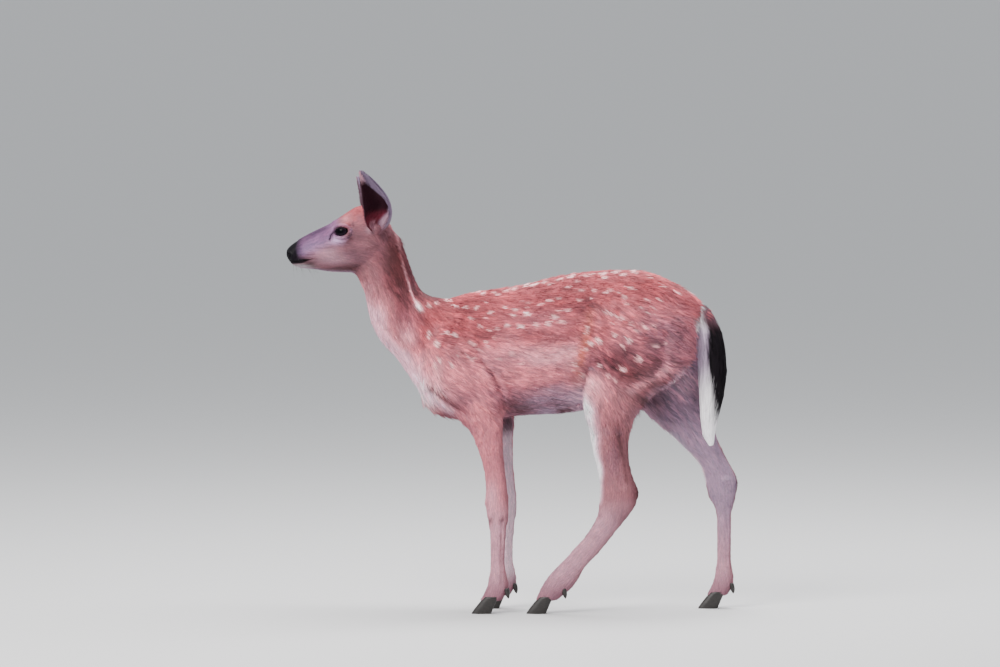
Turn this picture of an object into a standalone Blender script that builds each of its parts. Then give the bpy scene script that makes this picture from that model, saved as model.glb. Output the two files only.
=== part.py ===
"""A young white-tailed deer, standing in profile with its head up, at life size.

The animal faces -X and its left side faces -Y. The body is lofted from sections, joined
and smoothed into one form, and then parted with thin cuts where its parts are named.
Eyes, ears, claws and dewclaws are pieces of their own. Metres, +Z up.
"""

import math

import bmesh
import bpy
import numpy as np
from mathutils import Matrix, Vector

for old in list(bpy.data.objects):
    bpy.data.objects.remove(old)

# Driving sizes
TRACK = 0.053  # from the middle plane to the middle of a leg
GAP = 0.0004  # the cut between two neighbouring parts
SOLE_LINE = 0.0250  # where the hair of the pastern stops and the claws start
RING = 24  # corners of one section
STEPS = 4  # smooth steps between two sections
VOXEL = 0.0055
BODY_SHARE = 0.053  # of the smoothed form's triangles that are kept
HEAD_SHARE = 0.18  # and on the head
LEFT, RIGHT = -1, 1

# A section is a straight line across the body, seen from the side, with the shape that
# is wrapped round it: (x and z of its upper or front end, x and z of its lower or rear
# end, half width, middle's distance from the middle plane, how full its lower half is).
TRUNK = [
    (-0.168, 0.545, -0.160, 0.424, 0.030, 0.0, 0.00),
    (-0.140, 0.608, -0.138, 0.402, 0.047, 0.0, 0.10),
    (-0.100, 0.630, -0.100, 0.388, 0.058, 0.0, 0.20),
    (-0.040, 0.643, -0.040, 0.386, 0.069, 0.0, 0.24),
    (0.040, 0.655, 0.040, 0.393, 0.079, 0.0, 0.22),
    (0.110, 0.672, 0.110, 0.396, 0.083, 0.0, 0.18),
    (0.170, 0.681, 0.170, 0.404, 0.079, 0.0, 0.12),
    (0.230, 0.685, 0.230, 0.426, 0.073, 0.0, 0.06),
    (0.290, 0.682, 0.290, 0.446, 0.065, 0.0, 0.04),
    (0.345, 0.661, 0.342, 0.462, 0.051, 0.0, 0.00),
    (0.386, 0.636, 0.374, 0.500, 0.035, 0.0, 0.00),
    (0.402, 0.620, 0.388, 0.560, 0.018, 0.0, 0.00),
]
NECK = [
    (-0.080, 0.622, -0.146, 0.414, 0.046, 0.0, 0.00),
    (-0.126, 0.631, -0.177, 0.464, 0.050, 0.0, 0.00),
    (-0.145, 0.637, -0.206, 0.506, 0.049, 0.0, 0.02),
    (-0.159, 0.648, -0.236, 0.540, 0.046, 0.0, 0.04),
    (-0.170, 0.668, -0.255, 0.573, 0.042, 0.0, 0.04),
    (-0.180, 0.695, -0.265, 0.607, 0.039, 0.0, 0.02),
    (-0.190, 0.722, -0.273, 0.640, 0.037, 0.0, 0.00),
    (-0.203, 0.754, -0.287, 0.670, 0.036, 0.0, 0.00),
    (-0.232, 0.780, -0.302, 0.700, 0.032, 0.0, 0.00),
]
HEAD = [
    (-0.212, 0.762, -0.236, 0.716, 0.020, 0.0, 0.00),
    (-0.230, 0.790, -0.262, 0.690, 0.036, 0.0, 0.00),
    (-0.258, 0.812, -0.286, 0.680, 0.044, 0.0, -0.10),
    (-0.286, 0.812, -0.306, 0.678, 0.049, 0.0, -0.22),
    (-0.312, 0.796, -0.326, 0.679, 0.050, 0.0, -0.34),
    (-0.340, 0.778, -0.346, 0.680, 0.040, 0.0, -0.26),
    (-0.366, 0.766, -0.368, 0.684, 0.030, 0.0, -0.12),
    (-0.390, 0.754, -0.390, 0.686, 0.0245, 0.0, -0.04),
    (-0.408, 0.743, -0.406, 0.689, 0.0225, 0.0, 0.00),
    (-0.422, 0.733, -0.418, 0.697, 0.0195, 0.0, 0.00),
    (-0.430, 0.723, -0.426, 0.707, 0.0120, 0.0, 0.00),
]
TAIL = [
    (0.386, 0.628, 0.368, 0.598, 0.014, 0.0, 0.00),
    (0.421, 0.606, 0.387, 0.588, 0.018, 0.0, 0.00),
    (0.444, 0.565, 0.390, 0.553, 0.024, 0.0, 0.00),
    (0.455, 0.520, 0.393, 0.512, 0.027, 0.0, 0.00),
    (0.456, 0.480, 0.396, 0.474, 0.027, 0.0, 0.00),
    (0.450, 0.435, 0.398, 0.430, 0.024, 0.0, 0.00),
    (0.441, 0.392, 0.401, 0.386, 0.018, 0.0, 0.00),
    (0.434, 0.358, 0.410, 0.352, 0.010, 0.0, 0.00),
    (0.429, 0.334, 0.422, 0.332, 0.004, 0.0, 0.00),
]
SHOULDER = [
    (-0.094, 0.596, -0.062, 0.596, 0.006, 0.034, 0.00),
    (-0.130, 0.568, -0.042, 0.568, 0.018, 0.040, 0.00),
    (-0.158, 0.520, -0.024, 0.520, 0.028, 0.045, 0.00),
    (-0.158, 0.468, -0.008, 0.464, 0.030, 0.047, 0.00),
    (-0.132, 0.430, 0.000, 0.436, 0.028, 0.050, 0.00),
    (-0.094, 0.398, 0.004, 0.404, 0.025, 0.052, 0.00),
]
FORELEG = [
    (-0.094, 0.398, 0.004, 0.404, 0.026, 0.052, 0.00),
    (-0.062, 0.366, 0.006, 0.366, 0.0225, 0.052, 0.00),
    (-0.044, 0.324, 0.008, 0.324, 0.0195, 0.052, 0.00),
    (-0.033, 0.284, 0.012, 0.284, 0.0175, 0.052, 0.00),
    (-0.030, 0.250, 0.016, 0.250, 0.0175, 0.052, 0.00),
    (-0.032, 0.224, 0.019, 0.224, 0.0190, 0.052, 0.00),
    (-0.028, 0.198, 0.019, 0.198, 0.0170, 0.052, 0.00),
    (-0.023, 0.170, 0.015, 0.170, 0.0135, 0.052, 0.00),
    (-0.021, 0.130, 0.012, 0.130, 0.0125, 0.052, 0.00),
    (-0.021, 0.094, 0.012, 0.094, 0.0130, 0.052, 0.00),
    (-0.024, 0.070, 0.018, 0.066, 0.0155, 0.052, 0.00),
    (-0.028, 0.054, 0.018, 0.046, 0.0155, 0.052, 0.00),
    (-0.034, 0.040, 0.008, 0.030, 0.0145, 0.052, 0.00),
    (-0.041, 0.028, 0.002, 0.018, 0.0150, 0.052, 0.00),
    (-0.047, 0.018, -0.004, 0.008, 0.0150, 0.052, 0.00),
]
THIGH_NEAR = [
    (0.240, 0.618, 0.340, 0.612, 0.008, 0.036, 0.00),
    (0.190, 0.584, 0.384, 0.580, 0.026, 0.042, 0.00),
    (0.158, 0.530, 0.388, 0.530, 0.034, 0.047, 0.00),
    (0.149, 0.484, 0.364, 0.486, 0.033, 0.050, 0.00),
    (0.152, 0.446, 0.322, 0.450, 0.030, 0.052, 0.00),
    (0.163, 0.412, 0.284, 0.416, 0.027, 0.053, 0.00),
    (0.176, 0.370, 0.264, 0.376, 0.0245, 0.053, 0.00),
    (0.183, 0.330, 0.258, 0.334, 0.0210, 0.053, 0.00),
    (0.191, 0.294, 0.261, 0.298, 0.0180, 0.053, 0.00),
    (0.197, 0.264, 0.270, 0.268, 0.0175, 0.053, 0.00),
    (0.196, 0.238, 0.279, 0.244, 0.0190, 0.053, 0.00),
    (0.196, 0.214, 0.270, 0.212, 0.0180, 0.053, 0.00),
    (0.188, 0.188, 0.240, 0.172, 0.0150, 0.053, 0.00),
    (0.168, 0.156, 0.204, 0.126, 0.0130, 0.053, 0.00),
    (0.140, 0.124, 0.174, 0.094, 0.0130, 0.053, 0.00),
    (0.110, 0.092, 0.152, 0.058, 0.0155, 0.053, 0.00),
    (0.094, 0.074, 0.134, 0.040, 0.0155, 0.053, 0.00),
    (0.080, 0.052, 0.116, 0.026, 0.0145, 0.053, 0.00),
    (0.071, 0.032, 0.110, 0.018, 0.0150, 0.053, 0.00),
    (0.064, 0.020, 0.104, 0.008, 0.0150, 0.053, 0.00),
]
THIGH_FAR = [
    (0.240, 0.618, 0.340, 0.612, 0.008, 0.036, 0.00),
    (0.194, 0.584, 0.386, 0.580, 0.026, 0.042, 0.00),
    (0.176, 0.530, 0.402, 0.530, 0.033, 0.048, 0.00),
    (0.200, 0.478, 0.408, 0.496, 0.031, 0.051, 0.00),
    (0.250, 0.430, 0.414, 0.458, 0.029, 0.053, 0.00),
    (0.300, 0.384, 0.422, 0.418, 0.0265, 0.053, 0.00),
    (0.344, 0.344, 0.428, 0.380, 0.0230, 0.053, 0.00),
    (0.376, 0.314, 0.438, 0.342, 0.0200, 0.053, 0.00),
    (0.400, 0.286, 0.456, 0.304, 0.0180, 0.053, 0.00),
    (0.410, 0.256, 0.478, 0.262, 0.0190, 0.053, 0.00),
    (0.416, 0.228, 0.476, 0.228, 0.0180, 0.053, 0.00),
    (0.432, 0.196, 0.467, 0.194, 0.0145, 0.053, 0.00),
    (0.434, 0.150, 0.466, 0.148, 0.0125, 0.053, 0.00),
    (0.434, 0.098, 0.466, 0.096, 0.0130, 0.053, 0.00),
    (0.431, 0.072, 0.471, 0.068, 0.0155, 0.053, 0.00),
    (0.427, 0.055, 0.471, 0.047, 0.0155, 0.053, 0.00),
    (0.421, 0.041, 0.462, 0.031, 0.0145, 0.053, 0.00),
    (0.414, 0.029, 0.456, 0.019, 0.0150, 0.053, 0.00),
    (0.408, 0.018, 0.450, 0.008, 0.0150, 0.053, 0.00),
]

# Head pieces
EYE_RADIUS = 0.0155
EYE = Vector((-0.3140, 0.0400, 0.7630))
EAR_BASE = Vector((-0.239, 0.030, 0.768))
EAR_WIDTH = 0.066
EAR_BOW = 0.018  # how far the ear curves back between its base and its tip
EAR_WALL = 0.0032

# Feet
CLAW_LENGTH = 0.039
CLAW_HALF = 0.0064
CLEFT = 0.0022
CLAW_SIDES = 12
DEWCLAW_LENGTH = 0.015


def material(name, colour, roughness):
    made = bpy.data.materials.new(name)
    made.use_nodes = True
    shader = made.node_tree.nodes["Principled BSDF"]
    shader.inputs["Base Color"].default_value = (*colour, 1.0)
    shader.inputs["Roughness"].default_value = roughness
    made.diffuse_color = (*colour, 1.0)
    return made


COAT = material("coat", (0.46, 0.20, 0.12), 0.85)
EYE_GLOSS = material("eye_gloss", (0.02, 0.014, 0.010), 0.08)
HORN = material("hoof_horn", (0.035, 0.028, 0.025), 0.45)
NOSE_PAD = material("nose_pad", (0.03, 0.028, 0.030), 0.40)


def link(name, mesh, finish):
    made = bpy.data.objects.new(name, mesh)
    bpy.context.scene.collection.objects.link(made)
    made.data.materials.clear()
    made.data.materials.append(finish)
    return made


def smooth_rows(rows, steps=STEPS):
    """Catmull-Rom: each span is a cubic that leaves its ends along its neighbours' chord."""
    table = np.array(rows)
    padded = np.vstack([2 * table[0] - table[1], table, 2 * table[-1] - table[-2]])
    made = []
    for i in range(1, len(padded) - 2):
        before, start, end, after = padded[i - 1 : i + 3]
        for step in range(steps):
            t = step / steps
            made.append(
                start
                + 0.5 * t * (end - before)
                + t * t * (before - 2.5 * start + 2 * end - 0.5 * after)
                + t**3 * (1.5 * (start - end) + 0.5 * (after - before))
            )
    made.append(table[-1])
    return made


def section_points(row, side):
    """An oval round the section's line. Its lower half is fuller, or narrower, by the last value."""
    ax, az, bx, bz, half, middle, full = row
    points = []
    for i in range(RING):
        turn = 2 * math.pi * i / RING
        along = math.cos(turn)
        across = math.sin(turn) * half * (1 - full * along)
        x = (ax + bx) / 2 + along * (ax - bx) / 2
        z = (az + bz) / 2 + along * (az - bz) / 2
        points.append(Vector((x, side * middle + across, z)))
    return points


def loft(bm, rows, side=RIGHT, shift=None):
    """Rings bridged one to the next, with both ends capped. shift moves a ring by its height."""
    loops = []
    for row in smooth_rows(rows):
        points = section_points(row, side)
        if shift:
            points = [p + Vector((shift(p.z), 0, 0)) for p in points]
        verts = [bm.verts.new(p) for p in points]
        loops.append([bm.edges.new((verts[i - 1], verts[i])) for i in range(RING)])
    for first, second in zip(loops, loops[1:]):
        bmesh.ops.bridge_loops(bm, edges=first + second)
    for end in (loops[0], loops[-1]):
        bmesh.ops.edgeloop_fill(bm, edges=end)


def mesh_of(bm, name, turned=True):
    """The bmesh as a mesh, its faces turned outwards unless they already are."""
    if turned:
        bmesh.ops.recalc_face_normals(bm, faces=bm.faces)
    mesh = bpy.data.meshes.new(name)
    bm.to_mesh(mesh)
    bm.free()
    return mesh


def applied(thing):
    """The object with its modifiers made into its mesh."""
    graph = bpy.context.evaluated_depsgraph_get()
    baked = bpy.data.meshes.new_from_object(thing.evaluated_get(graph), depsgraph=graph)
    thing.modifiers.clear()
    old = thing.data
    thing.data = baked
    bpy.data.meshes.remove(old)
    return thing


def far_lean(z):
    """The right foreleg stands a little behind the left one, and more so at its elbow."""
    rise = min(max((z - 0.28) / 0.10, 0.0), 1.0)
    return 0.016 + 0.008 * rise


def swept(thing, cutter):
    """Cuts the cutter out of the thing."""
    cut = thing.modifiers.new("cut", "BOOLEAN")
    cut.operation = "DIFFERENCE"
    cut.solver = "EXACT"
    cut.object = cutter
    return applied(thing)


def grown(thing, name):
    """A copy that stands a gap proud of the thing all round, to seat a neighbour against it."""
    copy = link(name, thing.data.copy(), COAT)
    swell = copy.modifiers.new("swell", "DISPLACE")
    swell.strength = GAP
    swell.mid_level = 0.0
    return applied(copy)


def islands(mesh):
    """The mesh's separate closed shells, each as a set of face indices, largest first."""
    bm = bmesh.new()
    bm.from_mesh(mesh)
    bm.faces.ensure_lookup_table()
    left = set(range(len(bm.faces)))
    found = []
    while left:
        todo = [left.pop()]
        shell = set(todo)
        while todo:
            for edge in bm.faces[todo.pop()].edges:
                for face in edge.link_faces:
                    if face.index in left:
                        left.discard(face.index)
                        shell.add(face.index)
                        todo.append(face.index)
        found.append(shell)
    bm.free()
    return sorted(found, key=len, reverse=True)


def shell_mesh(mesh, shell, name):
    """A mesh of just these faces."""
    bm = bmesh.new()
    bm.from_mesh(mesh)
    doomed = [face for face in bm.faces if face.index not in shell]
    bmesh.ops.delete(bm, geom=doomed, context="FACES")
    return mesh_of(bm, name, turned=False)


# The whole body, first as overlapping lofts, then as one smoothed form
body_bm = bmesh.new()
for rows in (TRUNK, NECK, HEAD):
    loft(body_bm, rows)
loft(body_bm, SHOULDER, LEFT)
loft(body_bm, SHOULDER, RIGHT, far_lean)
loft(body_bm, FORELEG, LEFT)
loft(body_bm, FORELEG, RIGHT, far_lean)
loft(body_bm, THIGH_NEAR, LEFT)
loft(body_bm, THIGH_FAR, RIGHT)
body = link("body", mesh_of(body_bm, "body"), COAT)

remesh = body.modifiers.new("remesh", "REMESH")
remesh.mode = "VOXEL"
remesh.voxel_size = VOXEL
relax = body.modifiers.new("relax", "SMOOTH")
relax.factor = 0.5
relax.iterations = 3
applied(body)


def thinned(thing, share):
    """The thing with this share of its triangles, the flattest places thinned most."""
    thin = thing.modifiers.new("thin", "DECIMATE")
    thin.ratio = share
    return applied(thing)


# The head keeps a finer mesh than the rest, so it is taken from a copy of its own
fine_body = link("fine_body", body.data.copy(), COAT)
thinned(fine_body, HEAD_SHARE)
thinned(body, BODY_SHARE)


# Thin cuts part the form where its parts are named
def plate(name, start, end, inner, outer):
    """A thin sheet along a line seen from the side, between two distances from the middle."""
    ax, az = start
    bx, bz = end
    length = math.hypot(bx - ax, bz - az)
    bm = bmesh.new()
    bmesh.ops.create_cube(bm, size=1.0)
    bmesh.ops.scale(bm, vec=(length, abs(outer - inner), GAP), verts=bm.verts)
    tilt = Matrix.Rotation(-math.atan2(bz - az, bx - ax), 4, "Y")
    place = Matrix.Translation(((ax + bx) / 2, (inner + outer) / 2, (az + bz) / 2))
    bmesh.ops.transform(bm, matrix=place @ tilt, verts=bm.verts)
    sheet = link(name, mesh_of(bm, name), COAT)
    sheet.hide_render = True
    sheet.display_type = "WIRE"
    return sheet


INSIDE, OUTSIDE = 0.020, 0.105  # reach of a leg's cuts from the middle plane
CUTS = [
    plate("cut_throat", (-0.306, 0.646), (-0.198, 0.786), -0.07, 0.07),
    plate("cut_neck", (-0.192, 0.422), (-0.116, 0.676), -0.09, 0.09),
    plate("cut_foreleg_left", (-0.084, 0.373), (0.030, 0.373), -INSIDE, -OUTSIDE),
    plate("cut_foreleg_right", (-0.070, 0.373), (0.060, 0.373), INSIDE, OUTSIDE),
    plate("cut_knee_left", (-0.050, 0.222), (0.036, 0.222), -INSIDE, -OUTSIDE),
    plate("cut_knee_right", (-0.034, 0.222), (0.052, 0.222), INSIDE, OUTSIDE),
    plate("cut_stifle_left", (0.150, 0.386), (0.300, 0.394), -INSIDE, -OUTSIDE),
    plate("cut_stifle_right", (0.292, 0.362), (0.452, 0.412), INSIDE, OUTSIDE),
    plate("cut_hock_left", (0.180, 0.226), (0.300, 0.234), -INSIDE, -OUTSIDE),
    plate("cut_hock_right", (0.394, 0.242), (0.496, 0.242), INSIDE, OUTSIDE),
]
for sheet in CUTS:
    swept(body, sheet)
swept(fine_body, CUTS[0])

# The legs stop at one level, where the claws start
floor_bm = bmesh.new()
bmesh.ops.create_cube(floor_bm, size=1.0)
bmesh.ops.scale(floor_bm, vec=(2.0, 1.0, 0.2), verts=floor_bm.verts)
bmesh.ops.translate(floor_bm, vec=(0, 0, SOLE_LINE + GAP / 2 - 0.1), verts=floor_bm.verts)
feet_off = link("cut_feet", mesh_of(floor_bm, "cut_feet"), COAT)
swept(body, feet_off)

# Each named part is the shell whose middle lies nearest its own
MIDDLES = {
    "head": (-0.32, 0.0, 0.74),
    "neck": (-0.22, 0.0, 0.60),
    "trunk": (0.10, 0.0, 0.53),
    "foreleg_left": (-0.012, -TRACK, 0.29),
    "foreleg_right": (0.008, TRACK, 0.29),
    "cannon_front_left": (-0.006, -TRACK, 0.12),
    "cannon_front_right": (0.010, TRACK, 0.12),
    "hind_leg_left": (0.222, -TRACK, 0.30),
    "hind_leg_right": (0.41, TRACK, 0.31),
    "cannon_hind_left": (0.16, -TRACK, 0.12),
    "cannon_hind_right": (0.45, TRACK, 0.12),
}


def middle_of(mesh):
    """The middle of the mesh's box."""
    low = [min(v.co[i] for v in mesh.vertices) for i in range(3)]
    high = [max(v.co[i] for v in mesh.vertices) for i in range(3)]
    return (Vector(low) + Vector(high)) / 2


def nearest_name(mesh):
    middle = middle_of(mesh)
    return min(MIDDLES, key=lambda n: (Vector(MIDDLES[n]) - middle).length)


parts = {}
for shell in islands(body.data):
    mesh = shell_mesh(body.data, shell, "shell")
    name = nearest_name(mesh)
    if name in parts:
        raise ValueError(f"two shells are nearest {name}")
    parts[name] = mesh
for shell in islands(fine_body.data):
    mesh = shell_mesh(fine_body.data, shell, "shell")
    if nearest_name(mesh) == "head":
        parts["head"] = mesh
parts = {name: link(name, mesh, COAT) for name, mesh in parts.items()}
for spent in (body, fine_body, feet_off, *CUTS):
    bpy.data.objects.remove(spent)


def kept_largest(thing):
    """The thing with only its largest shell."""
    shell = islands(thing.data)[0]
    old = thing.data
    thing.data = shell_mesh(old, shell, thing.name)
    bpy.data.meshes.remove(old)
    return thing


def seated(thing, *hosts):
    """The thing, trimmed to stand a gap clear of each host."""
    for host in hosts:
        cutter = grown(parts[host], "grown_" + host)
        swept(thing, cutter)
        bpy.data.objects.remove(cutter)
    kept_largest(thing)
    parts[thing.name] = thing
    return thing


# Tail: flattened, hanging close behind the rump
tail_bm = bmesh.new()
loft(tail_bm, TAIL)
tail = link("tail", mesh_of(tail_bm, "tail"), COAT)
thinned(tail, 0.32)
seated(tail, "trunk")


# Eyes: balls set deep in the head, so that only the opening between the lids shows
def eye_ball(name, side, radius):
    bm = bmesh.new()
    bmesh.ops.create_uvsphere(bm, u_segments=16, v_segments=8, radius=radius)
    turn = Matrix.Rotation(math.radians(90), 4, "X")
    place = Matrix.Translation((EYE.x, side * EYE.y, EYE.z))
    bmesh.ops.transform(bm, matrix=place @ turn, verts=bm.verts)
    return link(name, mesh_of(bm, name), EYE_GLOSS)


for name, side in (("eye_left", LEFT), ("eye_right", RIGHT)):
    socket = eye_ball("socket", side, EYE_RADIUS + GAP)
    swept(parts["head"], socket)
    bpy.data.objects.remove(socket)
    parts[name] = eye_ball(name, side, EYE_RADIUS)

# Ears: cupped leaves, nearly a tube at the base, that open forwards and outwards
EAR_LEAF = [
    (0.00, 0.48, 150),
    (0.14, 0.72, 132),
    (0.32, 0.96, 92),
    (0.50, 1.00, 72),
    (0.68, 0.78, 60),
    (0.84, 0.48, 48),
    (0.95, 0.22, 38),
    (1.00, 0.10, 30),
]  # (share of the length, share of the width, half angle of the cup in degrees)
EAR_FACING = Vector((-0.55, 0.80, 0.0))


def ear_leaf(name, side, tip):
    """Arcs across the ear, one for each row of the leaf, thickened to the ear's wall."""
    along = tip - EAR_BASE
    facing = (EAR_FACING - EAR_FACING.project(along)).normalized()
    across = along.normalized().cross(facing)
    bm = bmesh.new()
    rows = []
    for share, width, cup in EAR_LEAF:
        cup = math.radians(cup)
        reach = width * EAR_WIDTH / 2
        radius = reach / math.sin(min(cup, math.pi / 2))
        bow = math.sin(math.pi * share**0.8)
        spine = EAR_BASE + along * share + Vector((EAR_BOW, 0, 0)) * bow
        arc = []
        for i in range(9):
            turn = cup * (i - 4) / 4
            point = spine + across * (radius * math.sin(turn))
            point += facing * (radius * (1 - math.cos(turn)) - 0.3 * reach)
            point.y *= side
            arc.append(bm.verts.new(point))
        rows.append(arc)
    for low, high in zip(rows, rows[1:]):
        for i in range(8):
            bm.faces.new((low[i], low[i + 1], high[i + 1], high[i]))
    leaf = link(name, mesh_of(bm, name), COAT)
    wall = leaf.modifiers.new("wall", "SOLIDIFY")
    wall.thickness = EAR_WALL
    wall.offset = 0.0
    return applied(leaf)


EAR_TIPS = {LEFT: Vector((-0.278, 0.094, 0.888)), RIGHT: Vector((-0.286, 0.094, 0.866))}
seated(ear_leaf("ear_left", LEFT, EAR_TIPS[LEFT]), "head", "neck")
seated(ear_leaf("ear_right", RIGHT, EAR_TIPS[RIGHT]), "head", "neck")

# Feet: two claws with a cleft between them, and two dewclaws behind the fetlock
FEET = {
    "front_left": (-0.0375, 0.012, 0.050, LEFT),
    "front_right": (-0.0215, 0.028, 0.050, RIGHT),
    "hind_left": (0.0720, 0.126, 0.050, LEFT),
    "hind_right": (0.4175, 0.464, 0.050, RIGHT),
}  # (x of the sole's middle, x and z of the dewclaws' roots, side)
WALL_SLOPE = 0.80  # how far the toe's wall leans back for each metre of height
HEEL_SLOPE = 0.42


def claw(name, sole_x, middle_y, outward):
    """Ovals stacked from the sole up. The toe is pointed and the inner side is flatter."""
    bm = bmesh.new()
    rings = []
    for height in (0.0, 0.004, 0.012, SOLE_LINE - GAP / 2):
        front = sole_x - CLAW_LENGTH / 2 + WALL_SLOPE * height
        rear = sole_x + CLAW_LENGTH / 2 + HEEL_SLOPE * height
        half = CLAW_HALF * (1.0 - 4.0 * abs(height - 0.008))
        ring = []
        for i in range(CLAW_SIDES):
            turn = 2 * math.pi * i / CLAW_SIDES
            toe = max(-math.cos(turn), 0.0)
            across = half * math.sin(turn) * (1.0 - 0.35 * toe * toe)
            across *= 1.0 if across > 0 else 0.85
            x = (front + rear) / 2 + (rear - front) / 2 * math.cos(turn)
            ring.append(bm.verts.new((x, middle_y + outward * across, height)))
        rings.append(ring)
    for low, high in zip(rings, rings[1:]):
        for i in range(CLAW_SIDES):
            bm.faces.new((low[i - 1], low[i], high[i], high[i - 1]))
    bm.faces.new(rings[0])
    bm.faces.new(rings[-1])
    return link(name, mesh_of(bm, name), HORN)


def dewclaw(name, x, y, z):
    """A blunt cone that points down and back."""
    bm = bmesh.new()
    bmesh.ops.create_cone(
        bm,
        cap_ends=True,
        segments=10,
        radius1=0.0054,
        radius2=0.0024,
        depth=DEWCLAW_LENGTH,
    )
    turn = Matrix.Rotation(math.radians(158), 4, "Y")
    bmesh.ops.transform(bm, matrix=Matrix.Translation((x, y, z)) @ turn, verts=bm.verts)
    return link(name, mesh_of(bm, name), HORN)


for foot, (sole_x, dew_x, dew_z, side) in FEET.items():
    for label, outward in (("outer", side), ("inner", -side)):
        offset = outward * (CLEFT / 2 + CLAW_HALF)
        name = f"claw_{foot}_{label}"
        parts[name] = claw(name, sole_x, side * TRACK + offset, outward)
        name = f"dewclaw_{foot}_{label}"
        piece = dewclaw(name, dew_x + 0.0035, side * TRACK + outward * 0.0080, dew_z - 0.012)
        seated(piece, "cannon_" + foot)

# The origin is under the middle of the whole animal, on the floor
corners = [v.co for part in parts.values() for v in part.data.vertices]
low = Vector([min(c[i] for c in corners) for i in range(3)])
high = Vector([max(c[i] for c in corners) for i in range(3)])
shift = Vector((-(low.x + high.x) / 2, -(low.y + high.y) / 2, -low.z))
for part in parts.values():
    part.data.transform(Matrix.Translation(shift))
    part.data.shade_smooth()
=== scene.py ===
"""The looks of a young white-tailed deer: one skin, a short spotted coat, eyes, ears, hooves.

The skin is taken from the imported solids, so everything stays in their frame: the animal
faces -X and its left side faces -Y. Metres, +Z up.
"""

import math

import bmesh
import bpy
import numpy as np
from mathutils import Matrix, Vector


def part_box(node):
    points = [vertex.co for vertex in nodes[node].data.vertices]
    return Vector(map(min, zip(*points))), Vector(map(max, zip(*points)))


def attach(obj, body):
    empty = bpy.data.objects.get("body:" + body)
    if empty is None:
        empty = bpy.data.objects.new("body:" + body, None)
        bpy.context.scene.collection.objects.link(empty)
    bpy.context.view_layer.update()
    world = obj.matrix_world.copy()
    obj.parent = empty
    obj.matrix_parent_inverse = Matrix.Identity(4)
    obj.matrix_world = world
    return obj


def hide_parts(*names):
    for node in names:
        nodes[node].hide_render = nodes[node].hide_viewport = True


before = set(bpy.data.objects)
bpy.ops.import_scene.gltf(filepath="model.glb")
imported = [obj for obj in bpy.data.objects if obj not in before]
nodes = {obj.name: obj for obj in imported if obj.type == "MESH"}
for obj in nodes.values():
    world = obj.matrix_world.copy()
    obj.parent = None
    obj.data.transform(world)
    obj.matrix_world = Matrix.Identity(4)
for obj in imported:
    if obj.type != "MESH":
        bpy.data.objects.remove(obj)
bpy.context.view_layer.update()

# ---------------------------------------------------------------------------------------
# Skin. The hide of the whole animal in one closed piece, from the nose to the coronets.
# It lies under the coat, so it is set in from the solids by the coat's depth.
# ---------------------------------------------------------------------------------------
LEFT, RIGHT = -1, 1  # which way y points from the middle plane
LEGS = ("front_left", "front_right", "hind_left", "hind_right")
FLESH = ["head", "neck", "trunk", "foreleg_left", "foreleg_right", "hind_leg_left", "hind_leg_right"]
FLESH += ["cannon_" + leg for leg in LEGS]
SKIN_GRAIN = 0.0040  # the body's mesh size; the head's is a half and the face's a quarter of it
EYE = np.array([-0.3390, 0.0400, 0.7630])  # middle of the right eyeball
EYE_RADIUS = 0.0155
EYE_AXIS = np.array([-0.34, 1.0, 0.10]) / np.linalg.norm([-0.34, 1.0, 0.10])
EYE_LENGTH, EYE_HEIGHT = 0.0113, 0.0067  # half sizes of the opening between the lids
MOUTH = [(-0.456, 0.7015), (-0.440, 0.7020), (-0.420, 0.7035), (-0.397, 0.7085)]  # from the side


def ease(value, start, end):
    """0 before start, 1 after end, and 3t^2 - 2t^3 between them."""
    t = np.clip((value - start) / (end - start), 0.0, 1.0)
    return t * t * (3.0 - 2.0 * t)


def unit(vectors):
    """The vectors, one to a row, brought to length 1."""
    return vectors / np.linalg.norm(vectors, axis=-1, keepdims=True)


def points_of(mesh):
    """The mesh's points as an array (n, 3)."""
    found = np.empty(len(mesh.vertices) * 3, np.float32)
    mesh.vertices.foreach_get("co", found)
    return found.reshape(-1, 3).astype(float)


def normals_of(mesh):
    """The outward normal at each point, (n, 3)."""
    found = np.empty(len(mesh.vertices) * 3, np.float32)
    mesh.vertex_normals.foreach_get("vector", found)
    return found.reshape(-1, 3).astype(float)


def triangles_of(mesh):
    """The mesh's triangles as rows of three point numbers."""
    mesh.calc_loop_triangles()
    found = np.empty(len(mesh.loop_triangles) * 3, np.int32)
    mesh.loop_triangles.foreach_get("vertices", found)
    return found.reshape(-1, 3)


def piece(name, points, faces, material=None):
    """A mesh from arrays: points (n, 3) and faces (m, corners), all with as many corners."""
    mesh = bpy.data.meshes.new(name)
    corners = faces.shape[1]
    mesh.vertices.add(len(points))
    mesh.vertices.foreach_set("co", np.ascontiguousarray(points, np.float32).ravel())
    mesh.loops.add(faces.size)
    mesh.loops.foreach_set("vertex_index", np.ascontiguousarray(faces, np.int32).ravel())
    mesh.polygons.add(len(faces))
    mesh.polygons.foreach_set("loop_start", np.arange(0, faces.size, corners, dtype=np.int32))
    mesh.update(calc_edges=True)
    mesh.shade_smooth()
    made = bpy.data.objects.new(name, mesh)
    bpy.context.scene.collection.objects.link(made)
    if material:
        mesh.materials.append(material)
    return made


def grid_faces(rows, columns):
    """Quads between closed rings of points that are numbered ring by ring."""
    row = np.arange(rows - 1)[:, None]
    column = np.arange(columns)[None, :]
    beside = (column + 1) % columns
    corners = (row * columns + column, row * columns + beside)
    corners += ((row + 1) * columns + beside, (row + 1) * columns + column)
    return np.stack([np.broadcast_to(c, corners[0].shape) for c in corners], -1).reshape(-1, 4)


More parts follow.
